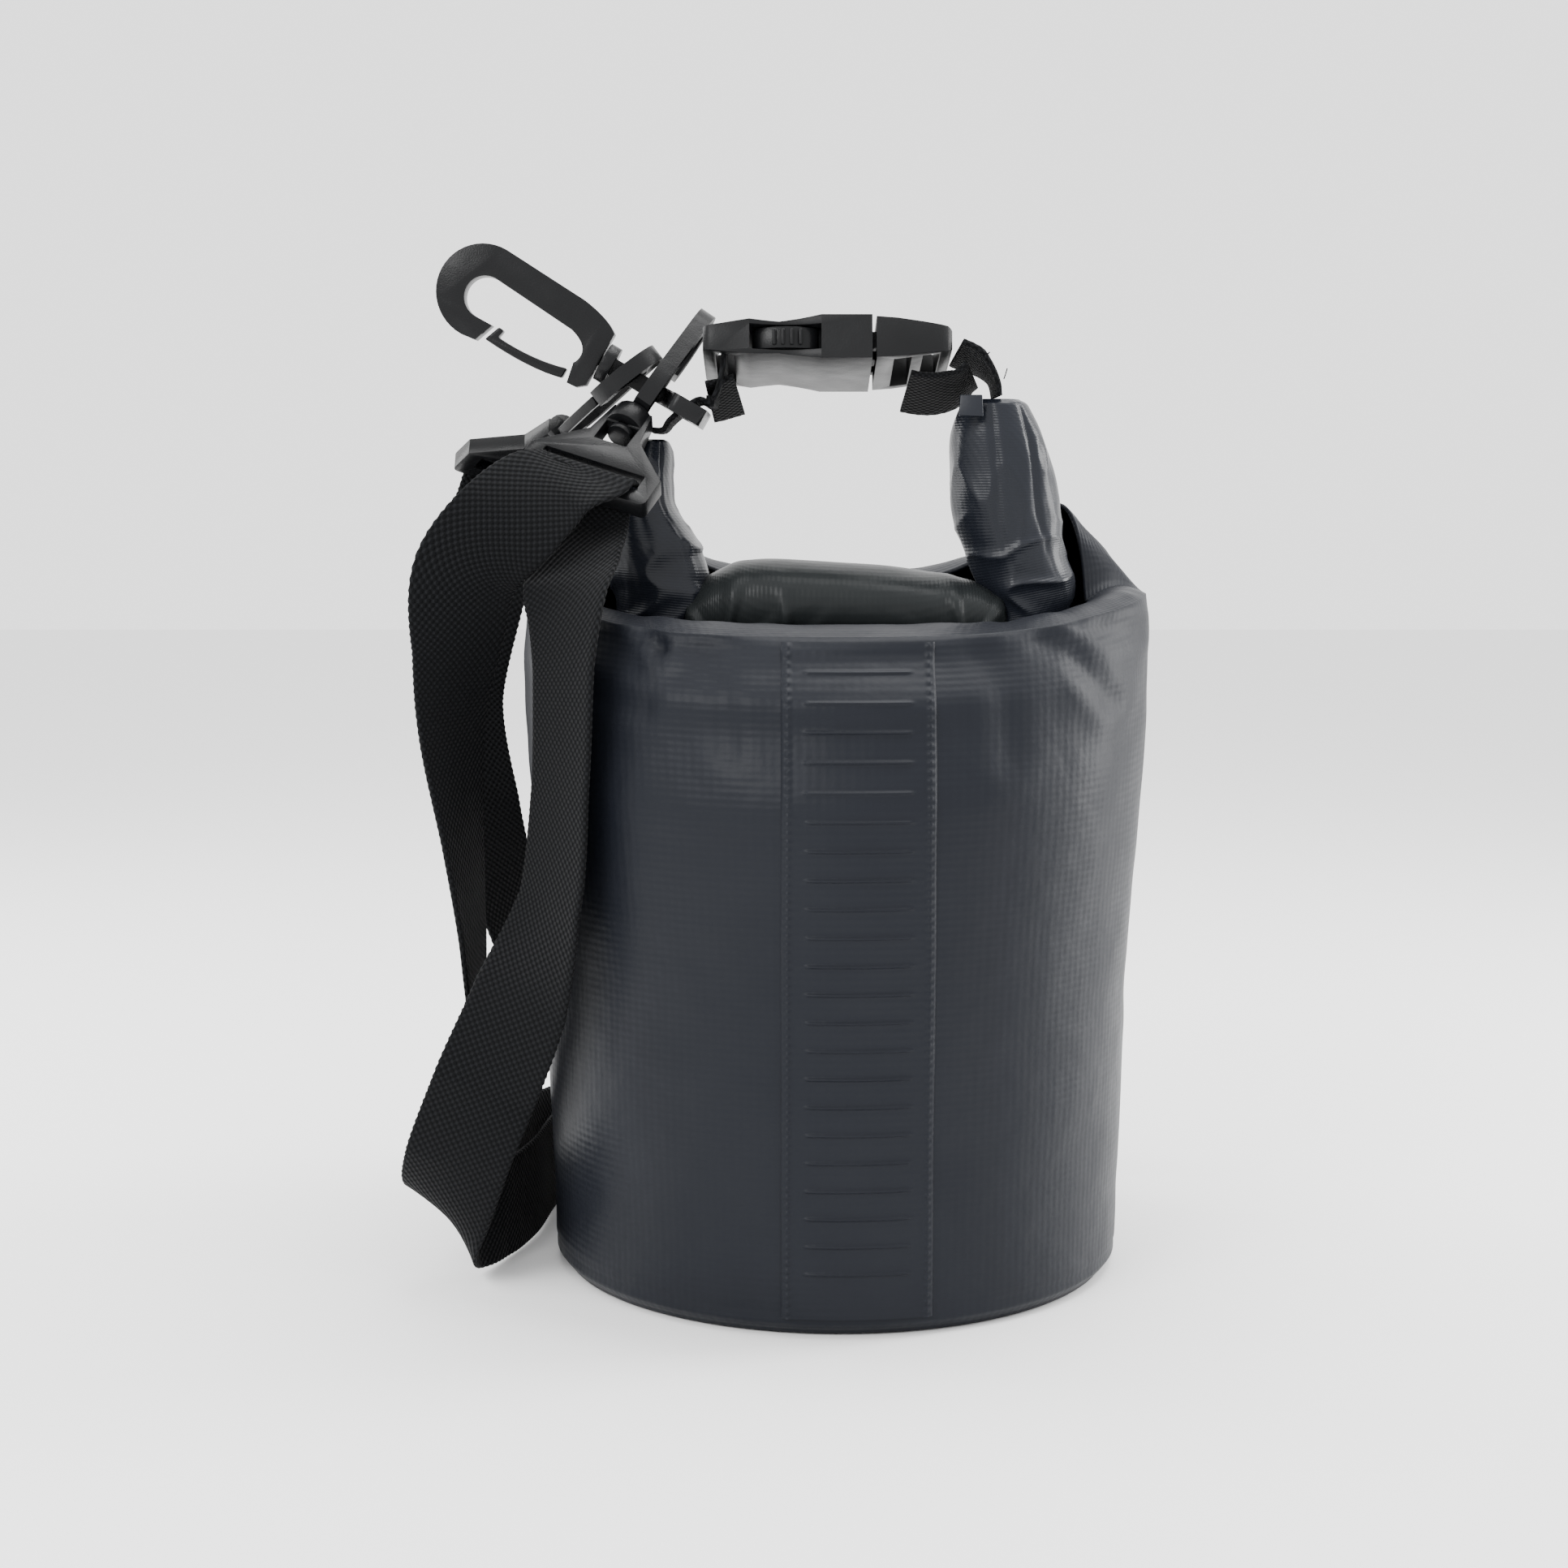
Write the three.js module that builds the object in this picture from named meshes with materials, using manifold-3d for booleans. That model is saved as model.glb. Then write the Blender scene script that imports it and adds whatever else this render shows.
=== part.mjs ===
// Roll-top storage bag with a side-release buckle, a carry hook and a clip-on shoulder strap.
// Millimetres, +Z up, the bag stands on z = 0 with its base centred on the origin and faces -Y.
import * as THREE from 'three';
import { mergeVertices } from 'three/addons/utils/BufferGeometryUtils.js';
import Module from 'manifold-3d';

const wasm = await Module();
wasm.setup();

// ---------------------------------------------------------------- driving dimensions
const WALL = 1.4;            // tarpaulin, drawn a little thicker than the 0.6 mm cloth
const GAP = 0.4;             // clearance between touching pieces
const WEB = 25;              // webbing width
const WEB_T = 1.5;           // webbing thickness
const BASE_R = 69.5;         // radius just above the base
const MOUTH_R = 75.5;        // widest radius
const RIM_Z = 156;           // crease at the top of the front panel
const SEAM_W = 34;           // welded overlap down the front
const SEAM_X = 3.5;          // its centre line
const ROLL_Z = 161;          // middle of the rolled mouth
const BUCKLE_Z = 221.5;      // middle of the buckle
const BUCKLE_TILT = -11.5;   // degrees about X, front edge up
const HOUSING_END = -32;     // buckle socket, bar end
const HOUSING_MOUTH = 8;     // buckle socket, open end
const PLUG_END = 27;         // plug, bar end
const HOOK_T = 4.1;          // thickness of the strap hooks
const CARRY_T = 6;           // thickness of the carry hook
const CARRY_ANGLE = 30;      // degrees above -X
const FLOOR = 0.4;           // lowest edge of the strap

const UP = new THREE.Vector3(0, 0, 1);
const DOWN = new THREE.Vector3(0, 0, -1);
const v3 = (x, y, z) => new THREE.Vector3(x, y, z);
const rad = THREE.MathUtils.degToRad;

// ---------------------------------------------------------------- materials
const finish = (color, roughness) => new THREE.MeshStandardMaterial({ color, roughness, metalness: 0 });
const TARP = 0x24282e;
const PLASTIC = 0x16171a;
const WEBBING = 0x131417;

// ---------------------------------------------------------------- helpers
function bare(geometry) {
  const out = geometry.clone();
  for (const name of Object.keys(out.attributes)) {
    if (name !== 'position') out.deleteAttribute(name);
  }
  return outward(mergeVertices(out, 1e-4));
}

// turns a closed mesh so that its faces point out
function outward(geometry) {
  const p = geometry.attributes.position;
  const index = geometry.index.array;
  const corner = (i) => new THREE.Vector3().fromBufferAttribute(p, index[i]);
  let volume = 0;
  for (let i = 0; i < index.length; i += 3) {
    volume += corner(i).dot(corner(i + 1).cross(corner(i + 2)));
  }
  if (volume < 0) {
    for (let i = 0; i < index.length; i += 3) [index[i], index[i + 1]] = [index[i + 1], index[i]];
  }
  return geometry;
}

function solid(geometry) {
  const merged = bare(geometry);
  return new wasm.Manifold(new wasm.Mesh({
    numProp: 3,
    vertProperties: new Float32Array(merged.attributes.position.array),
    triVerts: new Uint32Array(merged.index.array),
  }));
}

function geometryOf(manifold) {
  const mesh = manifold.getMesh();
  const geometry = new THREE.BufferGeometry();
  geometry.setAttribute('position', new THREE.Float32BufferAttribute(mesh.vertProperties, 3));
  geometry.setIndex(new THREE.Uint32BufferAttribute(mesh.triVerts, 1));
  return geometry;
}

const group = new THREE.Group();

function add(name, geometry, color, roughness, matrix) {
  const shape = geometry.isBufferGeometry ? bare(geometry) : geometryOf(geometry);
  shape.computeVertexNormals();
  const mesh = new THREE.Mesh(shape, finish(color, roughness));
  mesh.name = name;
  if (matrix) mesh.applyMatrix4(matrix);
  group.add(mesh);
  return mesh;
}

// closed body through rings of equal length, with flat ends; thin curved sections close across
// their thickness instead of round a centre point
function loft(rings, thinSection = false) {
  const n = rings[0].length;
  const points = rings.flat();
  const index = [];
  for (let i = 0; i < rings.length - 1; i += 1) {
    for (let j = 0; j < n; j += 1) {
      const a = i * n + j;
      const b = i * n + ((j + 1) % n);
      index.push(a, b, b + n, a, b + n, a + n);
    }
  }
  const last = (rings.length - 1) * n;
  for (let j = 0; thinSection && j < n / 2 - 1; j += 1) {
    const [a, b, c, d] = [j, j + 1, n - 2 - j, n - 1 - j];
    index.push(a, c, b, a, d, c, last + a, last + b, last + c, last + a, last + c, last + d);
  }
  if (thinSection) {
    const strip = new THREE.BufferGeometry().setFromPoints(points);
    strip.setIndex(index);
    return strip;
  }
  const first = points.length;
  const centre = (ring) => ring.reduce((sum, p) => sum.add(p), v3(0, 0, 0)).divideScalar(n);
  points.push(centre(rings[0]), centre(rings.at(-1)));
  for (let j = 0; j < n; j += 1) {
    const k = (j + 1) % n;
    index.push(first, k, j);
    index.push(first + 1, last + j, last + k);
  }
  const geometry = new THREE.BufferGeometry().setFromPoints(points);
  geometry.setIndex(index);
  return geometry;
}

// closed band through rings of equal length, where the last ring meets the first
function torusLoft(rings) {
  const n = rings[0].length;
  const index = [];
  for (let i = 0; i < rings.length; i += 1) {
    const next = (i + 1) % rings.length;
    for (let j = 0; j < n; j += 1) {
      const k = (j + 1) % n;
      index.push(i * n + j, i * n + k, next * n + k);
      index.push(i * n + j, next * n + k, next * n + j);
    }
  }
  const geometry = new THREE.BufferGeometry().setFromPoints(rings.flat());
  geometry.setIndex(index);
  return geometry;
}

function box(x0, x1, y0, y1, z0, z1) {
  const geometry = new THREE.BoxGeometry(x1 - x0, y1 - y0, z1 - z0);
  geometry.translate((x0 + x1) / 2, (y0 + y1) / 2, (z0 + z1) / 2);
  return geometry;
}

// plate of an outline in the XY plane, centred on z = 0
function plate(shape, thickness, curveSegments = 6) {
  const geometry = new THREE.ExtrudeGeometry(shape, {
    depth: thickness, bevelEnabled: false, curveSegments, steps: 1,
  });
  geometry.translate(0, 0, -thickness / 2);
  return geometry;
}

function rounded(x0, x1, y0, y1, r) {
  const s = new THREE.Shape();
  s.moveTo(x0 + r, y0);
  s.lineTo(x1 - r, y0);
  s.absarc(x1 - r, y0 + r, r, -Math.PI / 2, 0);
  s.lineTo(x1, y1 - r);
  s.absarc(x1 - r, y1 - r, r, 0, Math.PI / 2);
  s.lineTo(x0 + r, y1);
  s.absarc(x0 + r, y1 - r, r, Math.PI / 2, Math.PI);
  s.lineTo(x0, y0 + r);
  s.absarc(x0 + r, y0 + r, r, Math.PI, Math.PI * 1.5);
  return s;
}

function basis(origin, x, y) {
  const ex = x.clone().normalize();
  const ez = ex.clone().cross(y).normalize();
  const ey = ez.clone().cross(ex);
  return new THREE.Matrix4().makeBasis(ex, ey, ez).setPosition(origin);
}

// value at t of a list of [t, value] pairs, eased between them
function along(pairs, t) {
  if (t <= pairs[0][0]) return pairs[0][1];
  for (let i = 1; i < pairs.length; i += 1) {
    const [t1, v1] = pairs[i];
    const [t0, v0] = pairs[i - 1];
    if (t <= t1) return v0 + (v1 - v0) * THREE.MathUtils.smoothstep(t, t0, t1);
  }
  return pairs.at(-1)[1];
}

// ---------------------------------------------------------------- bag body
const HALF_X = [[0, 66.8], [4, BASE_R], [60, 71], [138, MOUTH_R], [164, 75]];
const HALF_Y = [[0, 66.8], [4, BASE_R], [60, 71], [118, 74], [140, 68], [RIM_Z, 57]];
const STAND = [0.4, 2.5, 6, 16, 34, 56, 80, 104, 124, 138, 148];
const NECK_X = 60.5;
const NECK_Y = 17.5;
const ROUND = 64;

function shellPoint(theta, level, inset) {
  const c = Math.cos(theta);
  const s = Math.sin(theta);
  const side = Math.abs(c) ** 3;
  const z = level;
  return v3((along(HALF_X, z) - inset) * c, (along(HALF_Y, z) - inset) * s, z + side * 8 * (z / RIM_Z) ** 6);
}

function neckPoint(theta, t, inset) {
  const c = Math.cos(theta);
  const s = Math.sin(theta);
  const side = Math.abs(c) ** 3;
  const back = Math.max(0, s);
  const flat = 0.55;
  const nx = Math.sign(c) * Math.abs(c) ** flat * NECK_X;
  const ny = Math.sign(s) * Math.abs(s) ** flat * NECK_Y;
  const nz = RIM_Z - 1 + 7 * side + back ** 0.8 * (11 + 46 * c * c);
  const rim = v3(75 * c, 57 * s, RIM_Z + 8 * side);
  const bulge = Math.sin(Math.PI * t) * (2.5 + 4 * back);
  const p = rim.lerp(v3(nx, ny, nz), t);
  p.z += bulge;
  const inward = v3(-c, -s, -1.2 * t).normalize().multiplyScalar(inset);
  return p.add(inward);
}

function bagShell() {
  const ring = (fn) => Array.from({ length: ROUND }, (_, j) => fn((j / ROUND) * 2 * Math.PI));
  const tops = [0, 0.25, 0.5, 0.75, 1];
  const outer = STAND.map((z) => ring((a) => shellPoint(a, z, 0)));
  outer.push(...tops.map((t) => ring((a) => neckPoint(a, t, 0))));
  const inner = STAND.map((z) => ring((a) => shellPoint(a, z, WALL)));
  inner.push(...tops.map((t) => ring((a) => neckPoint(a, t, WALL))));
  return torusLoft([...outer, ...inner.reverse()]);
}

function baseDisc() {
  const r = 66.8 - WALL - GAP;
  const profile = [[0, 0], [r - 1, 0], [r, 1], [r, 1.6], [0, 1.6]].map(([x, y]) => new THREE.Vector2(x, y));
  const geometry = new THREE.LatheGeometry(profile, ROUND);
  geometry.rotateX(Math.PI / 2);
  return geometry;
}

// the strip of cloth that laps the base disc's welded edge, inside the wall
function baseWeldBand() {
  const r = BASE_R - WALL - 3.4;
  const profile = [[r - 3, 2.1], [r, 2.1], [r, 9], [r - 1, 9], [r - 1, 3.1], [r - 3, 3.1], [r - 3, 2.1]];
  const geometry = new THREE.LatheGeometry(profile.map(([x, y]) => new THREE.Vector2(x, y)), ROUND);
  geometry.rotateX(Math.PI / 2);
  return geometry;
}

function seamStrip() {
  const levels = [5, 16, 34, 56, 80, 104, 124, 138, 146];
  const across = 8;
  const side = (level, offset) => Array.from({ length: across + 1 }, (_, i) => {
    const x = SEAM_X - SEAM_W / 2 + (SEAM_W * i) / across;
    const a = along(HALF_X, level) + offset;
    const b = along(HALF_Y, level) + offset;
    return v3(x, -b * Math.sqrt(1 - (x / a) ** 2), level);
  });
  const rings = levels.map((z) => [...side(z, 0.5), ...side(z, 1.3).reverse()]);
  return loft(rings.map((ring) => ring.reverse()), true);
}

// ---------------------------------------------------------------- rolled mouth
function ovals(stations, n = 20) {
  return stations.map(({ at, dir, wide, deep, power = 0.8 }) => {
    const d = dir.clone().normalize();
    const across = v3(0, 1, 0);
    const out = d.clone().cross(across).normalize();
    return Array.from({ length: n }, (_, j) => {
      const a = (j / n) * 2 * Math.PI;
      const c = Math.sign(Math.cos(a)) * Math.abs(Math.cos(a)) ** power;
      const s = Math.sign(Math.sin(a)) * Math.abs(Math.sin(a)) ** power;
      return at.clone().addScaledVector(out, c * wide).addScaledVector(across, s * deep);
    });
  });
}

function mouthRoll() {
  const station = (x, z, high, deep) => ({ at: v3(x, 0, z), dir: v3(1, 0, 0), wide: high, deep });
  const body = loft(ovals([
    station(-30, ROLL_Z + 1.5, 8, 12),
    station(-20, ROLL_Z + 1.5, 9.5, 14),
    station(0, ROLL_Z + 1, 9.5, 14.5),
    station(20, ROLL_Z, 9, 14),
    station(33, ROLL_Z - 1.5, 7.5, 12),
  ], 24));
  return solid(body).subtract(solid(box(-40, 40, -10.4, 10.4, ROLL_Z - 1.3, ROLL_Z + 1.3)));
}

function rollArm(list) {
  return loft(ovals(list.map(([x, z, wide, deep, dx]) => ({
    at: v3(x, 0, z), dir: v3(dx, 0, 1), wide, deep, power: 0.9,
  }))));
}

const RIGHT_ARM = [
  [46, 156, 8.5, 11, -0.2], [46.5, 163, 9, 12, -0.2], [43.5, 172, 10.5, 12.5, -0.2],
  [41.5, 182, 13, 12.5, 0], [40.5, 192, 12.5, 12, 0], [38.5, 202, 11, 11.5, 0], [38, 210.5, 7.5, 10, 0],
];
const LEFT_ARM = [
  [-43.5, 156, 10, 11, 0.1], [-43.5, 164, 11, 12, 0.1], [-45, 174, 11.2, 12.5, 0],
  [-47, 184, 8, 12.5, 0], [-47, 191, 7, 11.5, 0], [-45.8, 197, 5.8, 8.6, 0], [-45, 201, 4, 6.2, 0],
];

// ---------------------------------------------------------------- buckle, in its own tilted frame
const buckleFrame = new THREE.Matrix4()
  .makeRotationX(rad(BUCKLE_TILT))
  .setPosition(0, 0, BUCKLE_Z);
const SOCKET_HALF = 16.5;

function side(points, depth) {
  const shape = new THREE.Shape(points.map(([x, z]) => new THREE.Vector2(x, z)));
  const geometry = new THREE.ExtrudeGeometry(shape, { depth, bevelEnabled: false, curveSegments: 6 });
  geometry.rotateX(Math.PI / 2);
  geometry.translate(0, depth / 2, 0);
  return solid(geometry);
}

function buckleHousing() {
  const plan = new THREE.Shape();
  const e = HOUSING_END;
  plan.moveTo(e, -13);
  plan.quadraticCurveTo(e, -15.5, e + 3, -15.5);
  plan.lineTo(e + 11, -SOCKET_HALF);
  plan.quadraticCurveTo(-12, -13.5, -4, -SOCKET_HALF);
  plan.lineTo(HOUSING_MOUTH, -SOCKET_HALF);
  plan.lineTo(HOUSING_MOUTH, SOCKET_HALF);
  plan.lineTo(-4, SOCKET_HALF);
  plan.quadraticCurveTo(-12, 13.5, e + 11, SOCKET_HALF);
  plan.lineTo(e + 3, 15.5);
  plan.quadraticCurveTo(e, 15.5, e, 13);
  const top = [[e, 2.8], [e + 11, 4.2], [-14, 3.8], [-4, 5.2], [HOUSING_MOUTH, 5.2]];
  const profile = side([...top, ...top.map(([x, z]) => [x, -z]).reverse()], 40);
  const cavity = solid(box(-22, HOUSING_MOUTH + 1, -13.6, 13.6, -2.9, 2.9));
  const windows = solid(box(-21, -4, -20, 20, -3, 3));
  const slot = solid(box(e + 3, e + 7.5, -12.9, 12.9, -6, 6));
  return solid(plate(plan, 12)).intersect(profile).subtract(cavity).subtract(windows).subtract(slot);
}

function bucklePlug() {
  const root = HOUSING_MOUTH + 1;
  const top = [[root, 4.9], [root + 5, 4.6], [PLUG_END - 1, 3], [PLUG_END, 2.2]];
  const profile = side([...top, ...top.map(([x, z]) => [x, -z]).reverse()], 40);
  const head = new THREE.Shape();
  head.moveTo(root, -16);
  head.lineTo(root + 8, -15.6);
  head.quadraticCurveTo(PLUG_END, -15.2, PLUG_END, -12.5);
  head.lineTo(PLUG_END, 12.5);
  head.quadraticCurveTo(PLUG_END, 15.2, root + 8, 15.6);
  head.lineTo(root, 16);
  const slots = solid(box(root + 4.2, root + 8.4, -12.9, 12.9, -8, 8))
    .add(solid(box(root + 11, root + 15, -12.9, 12.9, -8, 8)));
  const rail = solid(plate(rounded(-16, root + 1, -3.2, 3.2, 2), 4.4));
  const peg = (y) => solid(box(root - 6, root + 1, y - 1.7, y + 1.7, -1.9, 1.9));
  const pegs = peg(-11.3).add(peg(11.3));
  return solid(plate(head, 12)).intersect(profile).subtract(slots).add(rail).add(pegs);
}

// one sprung prong: thin arm, barb and the thumb pad that fills the side window
function latch(sign) {
  const s = new THREE.Shape();
  const root = HOUSING_MOUTH - 5.5;
  s.moveTo(root, -12.8);
  s.lineTo(root, -10);
  s.lineTo(-6, -8.6);
  s.lineTo(-18, -9);
  s.quadraticCurveTo(-20.4, -10, -20.4, -12.5);
  s.quadraticCurveTo(-18, -15.4, -12.5, -15.6);
  s.quadraticCurveTo(-7, -15.4, -4.8, -13.2);
  s.lineTo(-4.8, -12.6);
  const geometry = plate(s, 5.2, 5);
  if (sign > 0) geometry.rotateX(Math.PI);
  return geometry;
}

// ---------------------------------------------------------------- hooks, drawn along +X of their own frame
// Loop of a snap hook: spine on the +Y side, nose round the far end, open where the gate shuts.
const LOOP = 43.5;           // flange to the end of the nose
const NOSE_R = 11.4;

// top and bottom: half-heights of the opening above and below the axis
function hookBody(scale, thickness, [stemLength, stemRadius, headRadius], [top, bottom]) {
  const cx = LOOP - NOSE_R;
  const outer = new THREE.Shape();
  outer.moveTo(0, -7);
  outer.lineTo(0, 7);
  outer.quadraticCurveTo(3, 9.5, 10, 10.4);
  outer.lineTo(cx, NOSE_R);
  outer.absarc(cx, 0, NOSE_R, Math.PI / 2, -Math.PI / 2, true);
  outer.lineTo(cx - 6, -NOSE_R + 0.8);
  outer.lineTo(2, -8.6);
  const holeR = (top + bottom) / 2;
  const hole = new THREE.Shape();
  hole.moveTo(9.5, top - 1.4);
  hole.quadraticCurveTo(4.5, 1.5, 4.5, -1.5);
  hole.quadraticCurveTo(4.5, -5, 9, -5.5);
  hole.lineTo(cx - 1, -bottom);
  hole.absarc(cx - 1, top - holeR, holeR, -Math.PI / 2, Math.PI / 2);
  const mouth = new THREE.Shape();
  mouth.moveTo(5.2, -4);
  mouth.lineTo(cx - 6.2, -4);
  mouth.lineTo(cx - 3, -13);
  mouth.lineTo(3.5, -13);
  const stem = new THREE.CylinderGeometry(stemRadius, stemRadius, stemLength + 0.6, 14);
  stem.rotateZ(Math.PI / 2);
  stem.translate(0.6 - (stemLength + 0.6) / 2, 0, 0);
  const head = new THREE.CylinderGeometry(headRadius, headRadius, 1.6, 16);
  head.rotateZ(Math.PI / 2);
  head.translate(-stemLength + 0.2, 0, 0);
  const ring = solid(plate(outer, thickness / scale, 12))
    .subtract(solid(plate(hole, 20, 10)))
    .subtract(solid(plate(mouth, 20)));
  return ring.scale([scale, scale, scale]).add(solid(stem)).add(solid(head));
}

function hookGate(scale, thickness) {
  const cx = LOOP - NOSE_R;
  const s = new THREE.Shape();
  s.moveTo(6, -8.4);
  s.quadraticCurveTo(14, -10.6, cx - 5.6, -9.6);
  s.lineTo(cx - 7.2, -5.4);
  s.lineTo(cx - 8.6, -5.6);
  s.lineTo(cx - 8.2, -7.6);
  s.quadraticCurveTo(14, -8.2, 6, -5.8);
  return solid(plate(s, (thickness - 1.6) / scale, 8)).scale([scale, scale, scale]);
}

// Frame that holds the swivel stem in its collar and the strap on its far bar at x = 0.
function hookBase(length, width, slotWidth) {
  const collar = length - 7.2;
  const s = new THREE.Shape();
  const w = width / 2;
  s.moveTo(-2, -w + 1.5);
  s.quadraticCurveTo(-2, -w, 0, -w);
  s.lineTo(7, -w);
  s.lineTo(collar - 3, -6.6);
  s.lineTo(length - 0.5, -5);
  s.lineTo(length - 0.5, 5);
  s.lineTo(collar - 3, 6.6);
  s.lineTo(7, w);
  s.lineTo(0, w);
  s.quadraticCurveTo(-2, w, -2, w - 1.5);
  const slot = solid(box(2, 6.8, -slotWidth / 2, slotWidth / 2, -8, 8));
  const window = solid(box(collar - 5.6, collar + 1, -4.2, 4.2, -8, 8));
  const bore = new THREE.CylinderGeometry(2.5, 2.5, 10, 18);
  bore.rotateZ(Math.PI / 2);
  bore.translate(length - 3, 0, 0);
  const chunk = new THREE.CylinderGeometry(5, 5, 5.2, 20);
  chunk.rotateZ(Math.PI / 2);
  chunk.translate(length - 3.1, 0, 0);
  return solid(plate(s, 4.4)).subtract(slot).add(solid(chunk)).subtract(window).subtract(solid(bore));
}

// The carry hook's base: round collar, slim neck with a window for the stem's head, and a
// wide frame for the handle webbing. The hook's flange is at x = 0.
const CARRY_NECK = 3.2;      // half width of the neck
const CARRY_FRAME = 16.6;    // half width of the webbing frame
const CARRY_BACK = -29;      // far edge of the webbing frame

function carryBase() {
  const disc = new THREE.CylinderGeometry(4.8, 4.8, 2.8, 24);
  disc.rotateZ(Math.PI / 2);
  disc.translate(-1.9, 0, 0);
  const half = (sign) => {
    const edge = [[-16.5, CARRY_NECK], [-19, 4.6], [-20, 14], [-20.2, CARRY_FRAME], [-22, CARRY_FRAME]];
    edge.push([CARRY_BACK + 1.6, CARRY_FRAME], [CARRY_BACK, CARRY_FRAME], [CARRY_BACK, CARRY_FRAME - 1.6]);
    return edge.map(([x, y]) => [x, sign * y]);
  };
  const near = half(-1);
  const far = half(1);
  const frame = new THREE.Shape();
  frame.moveTo(-3, -CARRY_NECK);
  frame.lineTo(...near[0]);
  frame.quadraticCurveTo(...near[1], ...near[2]);
  frame.quadraticCurveTo(...near[3], ...near[4]);
  frame.lineTo(...near[5]);
  frame.quadraticCurveTo(...near[6], ...near[7]);
  frame.lineTo(...far[7]);
  frame.quadraticCurveTo(...far[6], ...far[5]);
  frame.lineTo(...far[4]);
  frame.quadraticCurveTo(...far[3], ...far[2]);
  frame.quadraticCurveTo(...far[1], ...far[0]);
  frame.lineTo(-3, CARRY_NECK);
  const bore = new THREE.CylinderGeometry(1.7, 1.7, 9, 18);
  bore.rotateZ(Math.PI / 2);
  bore.translate(-4, 0, 0);
  const window = solid(box(-12, -8, -2.4, 2.4, -6, 6));
  const slot = solid(box(-25.8, -21.6, -13, 13, -6, 6));
  return solid(plate(frame, 4.2, 5)).add(solid(disc)).subtract(solid(bore)).subtract(window).subtract(slot);
}

// ---------------------------------------------------------------- flat webbing
// stations: [centre, width direction, width, thickness], thin across the path
function ribbon(stations, steps = 4) {
  const path = new THREE.CatmullRomCurve3(stations.map(([p]) => p), false, 'centripetal');
  const total = (stations.length - 1) * steps;
  const rings = [];
  for (let i = 0; i <= total; i += 1) {
    const t = i / total;
    const k = Math.min(Math.floor(t * (stations.length - 1)), stations.length - 2);
    const f = t * (stations.length - 1) - k;
    const at = path.getPoint(t);
    const forward = path.getTangent(t);
    const [, dir0, width0 = WEB, thick0 = WEB_T] = stations[k];
    const [, dir1, width1 = WEB, thick1 = WEB_T] = stations[k + 1];
    const across = dir0.clone().normalize().lerp(dir1.clone().normalize(), f);
    across.addScaledVector(forward, -across.dot(forward)).normalize();
    const wide = THREE.MathUtils.lerp(width0, width1, f) / 2;
    const thin = THREE.MathUtils.lerp(thick0, thick1, f) / 2;
    const normal = forward.clone().cross(across).normalize();
    rings.push([[-1, -1], [1, -1], [1, 1], [-1, 1]].map(([a, b]) => (
      at.clone().addScaledVector(across, a * wide).addScaledVector(normal, b * thin))));
  }
  return loft(rings);
}

// ---------------------------------------------------------------- where the hooks hang
const CARRY_AT = v3(-57, 0, 220);
const CARRY_DIR = v3(-Math.cos(rad(CARRY_ANGLE)), 0, Math.sin(rad(CARRY_ANGLE)));
const CARRY_SPINE = v3(Math.sin(rad(CARRY_ANGLE)), 0, Math.cos(rad(CARRY_ANGLE)));
const STRAP_HOOK = 0.87;     // strap hooks against the carry hook
const BASE_LENGTH = 27;
const BASE_WIDTH = 34;
// swivel stems: length, radius and radius of the head that holds them in
const CARRY_STEM = [10, 1.4, 2.1];
const STRAP_STEM = [7.6, 2, 3.2];

// each strap hook: its bar, the point its loop is aimed at, and the way its bar lies
const STRAP_HOOKS = {
  front: { bar: v3(-59.7, -25.6, 189.7), aim: v3(-43.9, -0.5, 213.2), across: v3(1, 0, 0) },
  rear: { bar: v3(-82.2, 37.6, 191.8), aim: v3(-50.6, -1.2, 216.2), across: v3(1, 0, 0) },
};

function strapHook(name, { bar, aim, across }, front) {
  const dir = aim.clone().sub(bar).normalize();
  const spine = v3(0, front ? -1 : 1, 0);
  const hookAt = basis(bar.clone().addScaledVector(dir, BASE_LENGTH), dir, spine);
  const base = hookBase(BASE_LENGTH, BASE_WIDTH, WEB + 1);
  add(`${name}_hook_base`, base, PLASTIC, 0.35, basis(bar, dir, across));
  add(`${name}_hook_body`, hookBody(STRAP_HOOK, HOOK_T, STRAP_STEM, [6.4, 6]), PLASTIC, 0.35, hookAt);
  add(`${name}_hook_gate`, hookGate(STRAP_HOOK, HOOK_T), PLASTIC, 0.35, hookAt);
}

// ---------------------------------------------------------------- webbing routes
const tilted = (x, y, z) => v3(x, y, z).applyMatrix4(buckleFrame);
const LEVEL = v3(0, 1, 0);
const TILT = v3(0, Math.cos(rad(BUCKLE_TILT)), Math.sin(rad(BUCKLE_TILT)));
const STEEP = v3(0, Math.cos(rad(-22)), Math.sin(rad(-22)));

const onBase = (u, v) => CARRY_AT.clone().addScaledVector(CARRY_DIR, u).addScaledVector(CARRY_SPINE, v);
const HANDLE_LEFT = [
  [v3(-44.6, 0, 203.2), LEVEL, 11], [v3(-41.8, 0, 203.2), LEVEL, 16], [onBase(-22, -4.4), LEVEL, 24],
  [onBase(-23.7, 0), LEVEL], [onBase(-26, 3.7), LEVEL], [onBase(-29, 4), LEVEL],
  [v3(-28.4, 0, 211.4), STEEP], [tilted(-27.2, 0, -5.6), TILT], [tilted(-27, 0, -0.6), TILT],
];
const HANDLE_RIGHT = [
  [v3(38.6, 0, 211.2), LEVEL, 19], [v3(37.8, 0, 215), LEVEL, 23], [v3(33.5, 0, 219.6), TILT],
  [tilted(28.8, 0, 0.4), TILT],
];

const Z_EDGE = WEB / 2 + FLOOR;
const SLIDER_Z = 16;         // middle of the strap where the slider lifts it
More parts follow.
